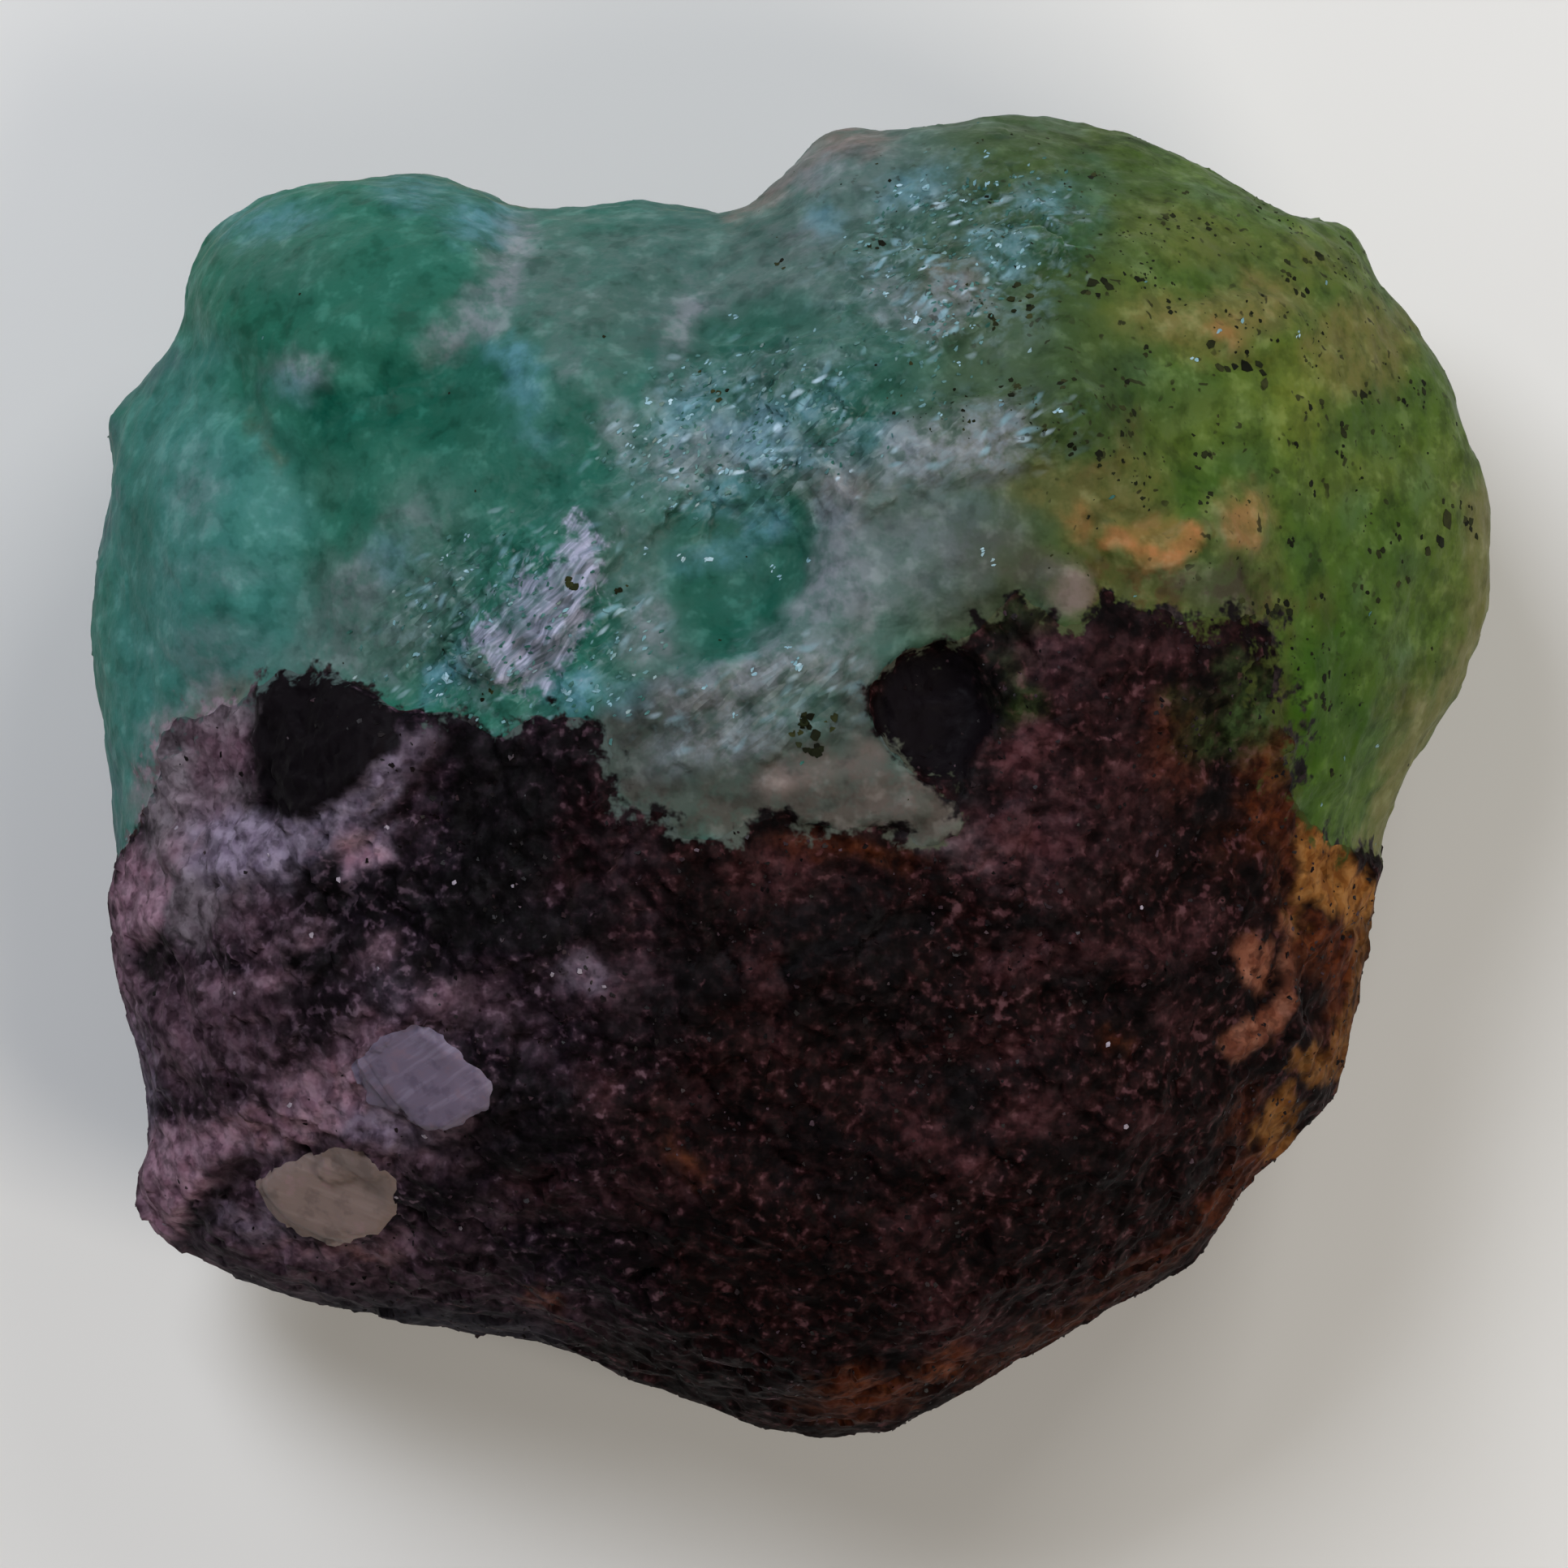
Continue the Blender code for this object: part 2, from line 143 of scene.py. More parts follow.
# %% Measure the distance to each solid
GREEN, ROCK, GREY_GRAIN, TAN_GRAIN = range(4)
NODE_OF = {
    GREEN: "emerald",
    ROCK: "mica_schist_matrix",
    GREY_GRAIN: "feldspar_grain_grey",
    TAN_GRAIN: "feldspar_grain_tan",
}


def lumps(points, size, octaves=1, seed=0):
    """Smooth noise at each point, about -1 to 1, with lumps of this size in metres."""
    shifted = points / size + np.array((seed * 13.7, seed * 5.9, seed * 9.1))
    return np.array([noise.fractal(p, 1.0, 2.0, octaves) for p in shifted.tolist()])


def ramp(values, start, end):
    """0 at start, 1 at end, and an S curve between."""
    share = np.clip((values - start) / (end - start), 0, 1)
    return share * share * (3 - 2 * share)


def tree_of(mesh):
    """A search tree over a mesh's faces."""
    bm = bmesh.new()
    bm.from_mesh(mesh)
    tree = BVHTree.FromBMesh(bm)
    bm.free()
    return tree


def distance_to(node_name, points):
    """Each point's distance to a solid, in metres."""
    tree = tree_of(nodes[node_name].data)
    return np.array([tree.find_nearest(p)[3] for p in points.tolist()])


places = vertex_table(skin)
solid_distance = {kind: distance_to(name, places) for kind, name in NODE_OF.items()}
into_rock = solid_distance[GREEN] - solid_distance[ROCK]  # metres past the contact
print("contact runs through", int((np.abs(into_rock) < GRAIN).sum()), "points")

# %% [markdown]
# ## Ovals, streaks and outlines
#
# Forms and colours on the broken face are laid out in plan, in millimetres, as they look
# from above. Three helpers cover them all. Each gives how far a point lies inside a form's
# edge, so one number serves to raise the form, to colour it and to make its edge ragged.

# %% Helpers that measure in plan
CAMERA_DISTANCE = 285.4 * MM
WIDEST_LEVEL = 8.0 * MM  # height of the stone's widest line


def seen_plan(points):
    """Plan position in mm as seen from above, where higher points look further out."""
    scale = CAMERA_DISTANCE / (CAMERA_DISTANCE - (points[:, 2] - WIDEST_LEVEL))
    return points[:, :2] * scale[:, None] / MM


def oval(plan, x, y, length, width, turn=0.0):
    """mm inside the edge of an oval patch, and negative outside it."""
    c, s = math.cos(math.radians(turn)), math.sin(math.radians(turn))
    u = ((plan[:, 0] - x) * c + (plan[:, 1] - y) * s) / length
    v = ((plan[:, 1] - y) * c - (plan[:, 0] - x) * s) / width
    return (1 - np.hypot(u, v)) * min(length, width)


def streak(plan, line, width):
    """mm inside the edge of a band of this half width that follows a line."""
    nearest = np.full(len(plan), np.inf)
    for (ax, ay), (bx, by) in zip(line, line[1:]):
        dx, dy = bx - ax, by - ay
        share = ((plan[:, 0] - ax) * dx + (plan[:, 1] - ay) * dy) / (dx * dx + dy * dy)
        share = np.clip(share, 0, 1)
        gap = np.hypot(plan[:, 0] - ax - share * dx, plan[:, 1] - ay - share * dy)
        nearest = np.minimum(nearest, gap)
    return width - nearest


def outline(plan, corners):
    """mm inside a closed outline, and negative outside it."""
    inside = np.zeros(len(plan), bool)
    closed = (*corners, corners[0])
    for (ax, ay), (bx, by) in zip(closed, closed[1:]):
        if ay == by:
            continue
        spans = (plan[:, 1] > ay) != (plan[:, 1] > by)
        inside ^= spans & (plan[:, 0] < ax + (plan[:, 1] - ay) * (bx - ax) / (by - ay))
    return -streak(plan, closed, 0.0) * np.where(inside, 1, -1)


plan = seen_plan(places)
upward = vertex_table(skin, "normal")[:, 2]
facing_up = ramp(upward, -0.35, 0.05)  # 1 on the broken face and over its rim

# %% Draw the contact as it shows on the broken face
CONTACT_LINE = (
    (-26.0, -3.0), (-22.0, -2.9), (-21.2, -2.4), (-20.6, -1.2), (-20.7, 0.2), (-20.3, 1.3),
    (-19.3, 2.1), (-18.2, 2.4), (-17.4, 2.9), (-16.7, 3.5), (-15.2, 3.5), (-14.0, 3.1), (-12.4, 2.2),
    (-11.4, 2.2), (-9.8, 1.4), (-9.0, 1.5), (-8.2, 2.0), (-6.8, 2.1), (-5.9, 1.5), (-5.9, 0.2),
    (-5.4, -0.9), (-3.9, -1.2), (-3.3, -2.0), (-2.5, -2.1), (-1.4, -1.4), (-0.3, -1.1),
    (1.0, -1.6), (3.4, -1.7), (4.9, -2.2), (5.9, -1.9), (5.7, -1.0), (4.6, 0.0), (3.5, 0.9),
    (2.8, 1.8), (2.8, 2.7), (3.2, 3.5), (4.3, 4.2), (6.2, 4.9), (7.5, 6.1), (8.4, 5.6),
    (9.0, 4.9), (9.7, 5.2), (10.4, 6.2), (11.4, 5.6), (13.3, 5.2), (14.5, 5.0), (15.2, 5.4),
    (15.9, 5.1), (15.9, 4.2), (15.8, 3.0), (16.2, 2.0), (16.6, 1.2), (16.6, -0.4), (16.9, -1.2),
    (17.5, -2.0), (18.4, -2.2), (19.3, -2.5), (26.0, -3.0),
)  # mm, left to right; the rock lies below the line
LINE_HOLDS, LINE_LETS_GO = 1.8 * MM, 3.2 * MM  # how far the line moves the contact
WANDER, WANDER_SIZE = 0.9 * MM, 3.5 * MM  # how far and in what lengths it wanders on the sides
rock_outline = (*CONTACT_LINE, (26.0, -26.0), (-26.0, -26.0))
near_contact = facing_up * ramp(np.abs(into_rock), LINE_LETS_GO, LINE_HOLDS)
into_rock += near_contact * (outline(plan, rock_outline) * MM - into_rock)
mingled = np.maximum(
    1.8 * ramp(oval(plan, 15.6, 2.6, 2.0, 3.8), -0.5, 1.0),
    1.2 * ramp(oval(plan, -20.2, 0.2, 1.4, 3.4, -10), -0.5, 1.0),
    0.6 * ramp(oval(plan, 10.5, 5.6, 4.0, 1.4), -0.5, 1.0),
)  # where the two minerals grew into each other
into_rock += MM * (1 + mingled) * (0.22 * lumps(places, 1.1 * MM, 2, 1)
                                   + 0.16 * lumps(places, 0.45 * MM, 1, 2))
below_rim = ramp(places[:, 2], 10 * MM, 5 * MM)
into_rock += WANDER * lumps(places, WANDER_SIZE, 2, 12) * below_rim

GRAIN_OUTLINES = {
    GREY_GRAIN: ((-14.2, -9.4), (-13.3, -8.4), (-12.1, -8.0), (-11.3, -8.3), (-10.4, -9.2),
                 (-9.7, -9.9), (-9.8, -10.8), (-11.0, -11.4), (-11.9, -11.5), (-12.6, -10.9),
                 (-13.6, -10.5)),
    TAN_GRAIN: ((-17.6, -13.3), (-16.3, -12.5), (-14.7, -12.0), (-13.4, -12.2), (-12.8, -13.1),
                (-12.8, -14.2), (-13.4, -14.8), (-14.6, -15.2), (-15.8, -15.0), (-16.8, -14.3)),
}  # the feldspar grains' faces, in mm
GRAIN_NEAR = 1.6 * MM  # a grain's face keeps within this distance of its solid
GRAIN_RAGGED = 0.12  # mm that its edge wanders
FAR_OUTSIDE = -5.0  # mm


def inside_grain(grain):
    """mm inside a feldspar grain's face."""
    near = solid_distance[grain] < GRAIN_NEAR
    edge = outline(plan, GRAIN_OUTLINES[grain]) + GRAIN_RAGGED * lumps(places, 0.5 * MM, 2, 11)
    return np.where(near & (facing_up > 0.5), edge, FAR_OUTSIDE)


# %% [markdown]
# ## Relief
#
# The beryl is sugary: it broke into small flat cleaved faces with fine grooves that all run
# one way. Its rounded lobes on the left are smoother. The schist is built of thin layers, so it
# steps down across them, and it is granular, with pits where flakes fell out. Each of these is
# a height over the skin, made from noise with a real size in millimetres, and then every
# point moves along its normal. A bump map alone would leave the outline and the mesh itself smooth.

# %% Forms on the broken face
EMERALD_FORMS = (
    # height in mm, softness of the edge in mm, form
    (0.45, 1.6, lambda p: oval(p, -14.6, 16.4, 4.9, 3.0, 0)),
    (-0.15, 1.0, lambda p: streak(p, ((-11.0, 14.2), (-9.6, 15.6), (-8.9, 18.2)), 0.8)),
    (0.20, 1.6, lambda p: oval(p, -14.6, 13.6, 5.0, 1.3, 0)),
    (0.35, 2.2, lambda p: oval(p, -14.6, 12.0, 3.6, 1.9, 0)),
    (0.25, 1.0, lambda p: oval(p, -14.4, 11.9, 2.3, 1.5, 0)),
    (0.30, 1.8, lambda p: oval(p, -18.9, 8.0, 2.6, 3.6, 5)),
    (-0.12, 0.5, lambda p: streak(p, ((-17.5, 12.0), (-17.2, 11.2), (-16.6, 10.6)), 0.45)),
    (0.30, 0.4, lambda p: streak(p, ((-6.6, 7.9), (-7.5, 6.6), (-8.6, 5.2), (-9.2, 4.4)), 1.2)),
    (0.35, 0.8, lambda p: oval(p, 6.3, 11.2, 3.4, 1.3, 10)),
    (0.22, 1.2, lambda p: oval(p, 4.0, 7.5, 2.9, 2.3, 20)),
    (-0.30, 1.6, lambda p: oval(p, -0.9, 7.0, 2.0, 2.6, -20)),
    (-0.25, 0.7, lambda p: oval(p, -0.7, 14.9, 1.9, 0.8, 5)),
    (0.30, 0.7, lambda p: oval(p, -1.2, 3.4, 2.4, 0.7, 14)),
    (0.28, 0.7, lambda p: oval(p, 2.2, -0.6, 2.9, 1.1, 0)),
    (0.30, 0.7, lambda p: oval(p, 9.2, 6.1, 1.0, 1.1, 0)),
    (0.22, 0.3, lambda p: streak(p, ((10.6, 8.0), (11.4, 7.5), (12.1, 7.3), (12.9, 7.6),
                                     (13.4, 8.1)), 0.5)),
    (0.20, 0.5, lambda p: oval(p, 14.9, 8.4, 0.9, 1.1, 0)),
    (0.30, 0.8, lambda p: oval(p, 15.0, 14.9, 2.2, 0.9, 0)),
    (0.25, 1.0, lambda p: oval(p, 5.3, 16.4, 1.2, 0.8, 0)),
)
ROCK_FORMS = (
    (0.30, 0.5, lambda p: outline(p, ((-17.3, 2.9), (-15.2, 3.5), (-12.8, 2.3), (-13.6, 0.2),
                                      (-15.8, -1.3), (-17.2, -0.4)))),
    (0.32, 0.6, lambda p: streak(p, ((-12.3, 1.2), (-13.6, -0.6), (-15.6, -1.9), (-17.6, -2.5),
                                     (-19.4, -2.4)), 0.9)),
    (-0.75, 1.0, lambda p: oval(p, 4.6, 2.3, 1.8, 2.1, 0)),
    (0.25, 0.5, lambda p: oval(p, -21.2, -3.9, 0.9, 1.4, 0)),
    (-0.25, 0.5, lambda p: oval(p, -20.8, -6.0, 0.7, 0.9, 0)),
    (0.30, 0.8, lambda p: oval(p, -20.2, -13.5, 1.0, 1.5, -10)),
    (-0.30, 0.5, lambda p: streak(p, ((-17.9, -13.0), (-19.5, -14.5)), 0.5)),
    (0.28, 0.3, lambda p: streak(p, ((16.1, -4.6), (16.5, -5.6), (16.4, -6.9), (15.9, -8.0),
                                     (14.8, -8.7)), 0.35)),
    (-0.35, 0.6, lambda p: oval(p, 17.3, -7.2, 0.6, 1.3, 0)),
    (0.25, 0.6, lambda p: oval(p, 17.7, -3.3, 1.3, 1.6, 0)),
    (-0.30, 0.5, lambda p: streak(p, ((-0.2, -6.2), (1.4, -5.4), (3.0, -4.8), (4.3, -4.7)), 0.4)),
    (0.22, 0.5, lambda p: oval(p, 15.2, -6.0, 0.7, 0.9, 0)),
)


def formed(forms):
    """The height of a list of forms over the skin, in metres."""
    height = np.zeros(len(places))
    for raised, soft, form in forms:
        height += raised * MM * ramp(form(plan), -soft / 2, soft / 2)
    return height * facing_up


# %% Heights for both minerals
GROOVE_TURN = math.radians(38)  # the grooves' direction in plan, from X
LAYER_TURN = math.radians(-28)  # strike of the schist's layers in plan
LAYER_DIP = math.radians(38)


def facets(points, size, tilt, seed=0):
    """Flat cleaved faces of this size: the height over the skin, in metres."""
    heights = []
    for p in (points / size + seed * 7.7).tolist():
        middle = noise.voronoi(p)[1][0]
        lean = noise.cell_vector(middle * 97.0) * 2 - Vector((1, 1, 1))
        heights.append((Vector(p) - middle).dot(lean))
    return np.array(heights) * size * tilt


def along_and_across(points, turn, long, short):
    """Squeezes the points so that noise on them is long one way and short across it."""
    c, s = math.cos(turn), math.sin(turn)
    along = (points[:, 0] * c + points[:, 1] * s) / long
    across = (points[:, 1] * c - points[:, 0] * s) / short
    return np.column_stack((along, across, points[:, 2] / ((long + short) / 2))) * MM


sugary = np.maximum.reduce([
    ramp(oval(plan, -0.5, 11.0, 6.5, 4.5, 20), -1.0, 2.5),
    ramp(oval(plan, 5.5, 16.5, 5.5, 4.0, 20), -1.0, 2.5),
    ramp(oval(plan, -9.0, 5.5, 5.5, 4.0, 20), -1.0, 2.5),
    0.7 * ramp(oval(plan, -1.0, 2.0, 5.5, 2.6, 10), -0.8, 1.5),
    0.8 * ramp(oval(plan, 6.0, 11.0, 4.5, 2.0, 10), -0.8, 1.5),
    0.15 * np.ones(len(plan)),
])
sugary *= 1 - 0.4 * ramp(oval(plan, -0.9, 7.0, 1.9, 2.4, 0), -0.3, 1.0)
sugary = sugary * facing_up + 0.55 * (1 - facing_up)

grooved = along_and_across(places, GROOVE_TURN, 1.6, 0.32)
beryl_relief = (
    0.26 * MM * lumps(places, 2.6 * MM, 3, 3) * (0.5 + 0.5 * sugary)
    + sugary * facets(places, 1.6 * MM, 0.20, 1)
    + sugary * facets(places, 0.7 * MM, 0.15, 2)
    + 0.10 * MM * sugary * lumps(grooved, 1.0 * MM, 2, 4)
    + 0.02 * MM * lumps(places, 0.4 * MM, 1, 5)
    + formed(EMERALD_FORMS)
)

layer_normal = np.array((
    -math.sin(LAYER_TURN) * math.cos(LAYER_DIP),
    math.cos(LAYER_TURN) * math.cos(LAYER_DIP),
    math.sin(LAYER_DIP),
))
through_layers = places @ layer_normal + 0.55 * MM * lumps(places, 3.2 * MM, 2, 6)
LAYER_SPACING = 1.7 * MM
step = np.mod(through_layers / LAYER_SPACING, 1.0)
step_height = np.minimum(step / 0.75, (1 - step) / 0.25) * (0.5 + 0.5 * lumps(places, 4 * MM, 1, 7))
pits = ramp(lumps(places, 1.5 * MM, 2, 8), 0.45, 0.7)
rock_relief = (
    0.26 * MM * lumps(places, 2.4 * MM, 3, 9)
    + 0.16 * MM * step_height
    + facets(places, 1.3 * MM, 0.20, 3)
    + facets(places, 0.55 * MM, 0.16, 4)
    - 0.16 * MM * pits
    + 0.02 * MM * lumps(places, 0.33 * MM, 1, 10)
) * (0.45 + 0.55 * ramp(upward, 0.0, 0.6)) + formed(ROCK_FORMS)
rock_share = ramp(into_rock, -0.25 * MM, 0.25 * MM)
relief = beryl_relief * (1 - rock_share) + rock_relief * rock_share

# A feldspar grain broke along its cleavage, so its face is flatter and stands a little proud
for grain in GRAIN_OUTLINES:
    on_face = ramp(inside_grain(grain), -0.15, 0.20)
    face_relief = 0.15 * MM + facets(places, 2.4 * MM, 0.10, 5) + 0.02 * MM * lumps(places, 0.8 * MM)
    relief = relief * (1 - on_face) + face_relief * on_face
print("relief:", np.round(np.percentile(relief / MM, (1, 50, 99)), 2), "mm")

raised = places + vertex_table(skin, "normal") * relief[:, None]
raised[:, 2] = np.maximum(raised[:, 2], 0.0)
move_vertices(skin, raised)

# %% [markdown]
# ## Cut the skin into its minerals
#
# Each piece takes the part of the skin that is nearest to its solid, so two pieces meet
# along one ragged line with no groove. From its open edge each piece goes down into the stone
# as a wall and closes there, so that no wall bridges a hollow and shows. A Boolean with a
# quarter of a million faces would do the same, but slowly.

# %% Run the cut along edges
PIECE_NAMES = {
    GREEN: "emerald_mass",
    ROCK: "schist_matrix",
    GREY_GRAIN: "grey_feldspar_grain",
    TAN_GRAIN: "tan_feldspar_grain",
}
GRAIN_ROOT = 2.4 * MM  # how deep a feldspar grain's wall goes
GRAIN_REACH = 4.5 * MM  # a rim whose centre is this near a grain is the grain's own
CONTACT_ROOT = 1.5 * MM  # how deep the wall between beryl and schist goes before it closes
RIM_REACH = 1.5 * MM  # how far round a point of the rim its normal is averaged
MOST_TRIANGLES = 185_000  # in one piece
UNDERSIDE = -0.25  # a normal's height below which a face counts as hidden
GRAIN_REACH = 4.5 * MM  # a grain's rim lies within this distance of its middle
CONTACT_STORED = 4  # mm from the contact up to which the depth is stored


def triangle_count(mesh):
    return sum(len(p.vertices) - 2 for p in mesh.polygons)


def drawn_onto_line(mesh, depth):
    """Moves the points nearest to a line onto it, so that the line runs along edges."""
    ends = np.empty(len(mesh.edges) * 2, np.int32)
    mesh.edges.foreach_get("vertices", ends)
    a, b = ends.reshape(-1, 2).T
    crossing = (depth[a] > 0) != (depth[b] > 0)
    a, b = a[crossing], b[crossing]
    share = depth[a] / (depth[a] - depth[b])
    points = vertex_table(mesh)
    meets = points[a] + share[:, None] * (points[b] - points[a])
    nearer = np.where(share < 0.5, a, b)
    order = np.argsort(-np.minimum(share, 1 - share))  # the shortest move is written last
    points[nearer[order]] = meets[order]
    move_vertices(mesh, points)
    on_line = depth.copy()
    on_line[nearer] = 0.0
    return on_line


def mineral_of_faces(mesh):
    """The mineral of each triangle of the skin."""
    corners = np.empty(len(mesh.loops), np.int32)
    mesh.loops.foreach_get("vertex_index", corners)
    corners = corners.reshape(-1, 3)
    past_contact = drawn_onto_line(mesh, into_rock / MM)
    kind = np.where(past_contact[corners].sum(1) > 0, ROCK, GREEN)
    for grain in GRAIN_OUTLINES:
        depth = drawn_onto_line(mesh, inside_grain(grain))
        kind = np.where(depth[corners].sum(1) > 0, grain, kind)
    return kind


# %% Keep each mineral in one piece
def without_islands(bm, kinds):
    """Gives every stray patch to the mineral round it, so each mineral is one piece."""
    seen = np.zeros(len(kinds), bool)
    patches = {}
    for first in range(len(kinds)):
        if seen[first]:
            continue
        seen[first] = True
        patch, edge_of_patch = [first], [first]
        while edge_of_patch:
            face = bm.faces[edge_of_patch.pop()]
            for edge in face.edges:
                for other in edge.link_faces:
                    i = other.index
                    if not seen[i] and kinds[i] == kinds[first]:
                        seen[i] = True
                        patch.append(i)
                        edge_of_patch.append(i)
        patches.setdefault(int(kinds[first]), []).append(patch)
    for kind, found in patches.items():
        for patch in sorted(found, key=len)[:-1]:
            kinds[patch] = ROCK if kind != ROCK else GREEN
    return kinds


# %% Close a piece with a wall that goes into the stone
def mean_normals(rim):
    """The mean normal round each point of a rim, so that one crumpled face turns no wall."""
    tree = KDTree(len(rim))
    for i, vertex in enumerate(rim):
        tree.insert(vertex.co, i)
    tree.balance()
    means = {}
    for vertex in rim:
        near = [rim[i].normal for _, i, _ in tree.find_range(vertex.co, RIM_REACH)]
        means[vertex.co.to_tuple(7)] = sum(near, Vector()).normalized()
    return means


def loops_of(edges):
    """Sorts edges into the loops that they form."""
    waiting = dict.fromkeys(edges)
    loops = []
    while waiting:
        loop, ends = [], [next(iter(waiting))]
        del waiting[ends[0]]
        while ends:
            edge = ends.pop()
            loop.append(edge)
            for vertex in edge.verts:
                for other in vertex.link_edges:
                    if other in waiting:
                        del waiting[other]
                        ends.append(other)
        loops.append(loop)
    return loops


def corners_of(edges):
    """Lists the vertices of some edges, each one once."""
    return list(dict.fromkeys(v for edge in edges for v in edge.verts))


def close_loop(bm, loop, sinks):
    """Hangs a wall from a loop, each vertex by its own sink, and closes it below."""
    lower = {v: bm.verts.new(v.co + sinks[v]) for v in corners_of(loop)}
    hub = bm.verts.new(sum((v.co for v in lower.values()), Vector()) / len(lower))
    for edge in loop:
        a, b = edge.verts
        bm.faces.new((a, b, lower[b], lower[a]))
        bm.faces.new((lower[a], lower[b], hub))


def cut_piece(bm_skin, kinds, kind):
    """Copies one mineral's part of the skin and closes it with a wall."""
    bm = bm_skin.copy()
    bm.faces.ensure_lookup_table()
    others = [bm.faces[i] for i in np.nonzero(kinds != kind)[0].tolist()]
    bmesh.ops.delete(bm, geom=others, context="FACES")
    open_edges = [e for e in bm.edges if e.is_boundary]
    for edge in open_edges:
        edge.smooth = False  # keeps the shading of the broken face apart from the wall's
    middles = [Vector(np.mean(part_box(NODE_OF[g]), axis=0)) for g in (GREY_GRAIN, TAN_GRAIN)]
    contacts = []
    for loop in loops_of(open_edges):
        corners = corners_of(loop)
        centre = sum((v.co for v in corners), Vector()) / len(corners)
        if kind == GREEN or min((centre - m).length for m in middles) > GRAIN_REACH:
            contacts.append(loop)
            continue
        down = -sum((v.normal for v in corners), Vector()).normalized()
        close_loop(bm, loop, dict.fromkeys(corners, down * GRAIN_ROOT))
    outward = mean_normals([v for loop in contacts for v in corners_of(loop)])
    for loop in contacts:
        sinks = {v: -outward[v.co.to_tuple(7)] * CONTACT_ROOT for v in corners_of(loop)}
        close_loop(bm, loop, sinks)
    bmesh.ops.recalc_face_normals(bm, faces=bm.faces)
    mesh = bpy.data.meshes.new(PIECE_NAMES[kind])
    bm.to_mesh(mesh)
    bm.free()
    return mesh


# %% Thin out and name the pieces
def thinned(mesh):
    """Merges faces, mostly under the stone, until the piece is light enough."""
    triangles = triangle_count(mesh)
    if triangles < MOST_TRIANGLES:
        return mesh
    underside = np.nonzero(vertex_table(mesh, "normal")[:, 2] < UNDERSIDE)[0].tolist()
    settings = {
        "ratio": MOST_TRIANGLES / triangles,
        "vertex_group": "group",
        "vertex_group_factor": 4.0,
    }
    return with_modifiers(mesh, ("DECIMATE", settings), group=underside)


contact_depth = into_rock / MM / (1 + mingled)
store(skin, "contact", np.clip(contact_depth, -CONTACT_STORED, CONTACT_STORED))
face_kinds = mineral_of_faces(skin)
bm_skin = bmesh.new()
bm_skin.from_mesh(skin)
bm_skin.faces.ensure_lookup_table()
face_kinds = without_islands(bm_skin, face_kinds)
pieces = {}
for kind, name in PIECE_NAMES.items():
    mesh = thinned(cut_piece(bm_skin, face_kinds, kind))
    mesh.name = name
    mesh.shade_smooth()
    pieces[kind] = bpy.data.objects.new(name, mesh)
    bpy.context.scene.collection.objects.link(pieces[kind])
    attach(pieces[kind], "root")
    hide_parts(NODE_OF[kind])
    print(name, triangle_count(mesh), "triangles")
bm_skin.free()

# %% [markdown]
# ## Where the colours lie
#
# A natural stone has no pattern that repeats, so its patches are placed one by one, as ovals
# and streaks in millimetres, seen from above, each with a strength. What is stored at each
# point is how much of each kind covers it, not a finished colour. Three kinds share one
# vector, because a render looks up one vector faster than three numbers. Noise moves the edges
# before they are measured, and the material adds a finer grain, because minerals mix grain by
# grain. Past the rim, where nothing is placed, noise lays similar patches.

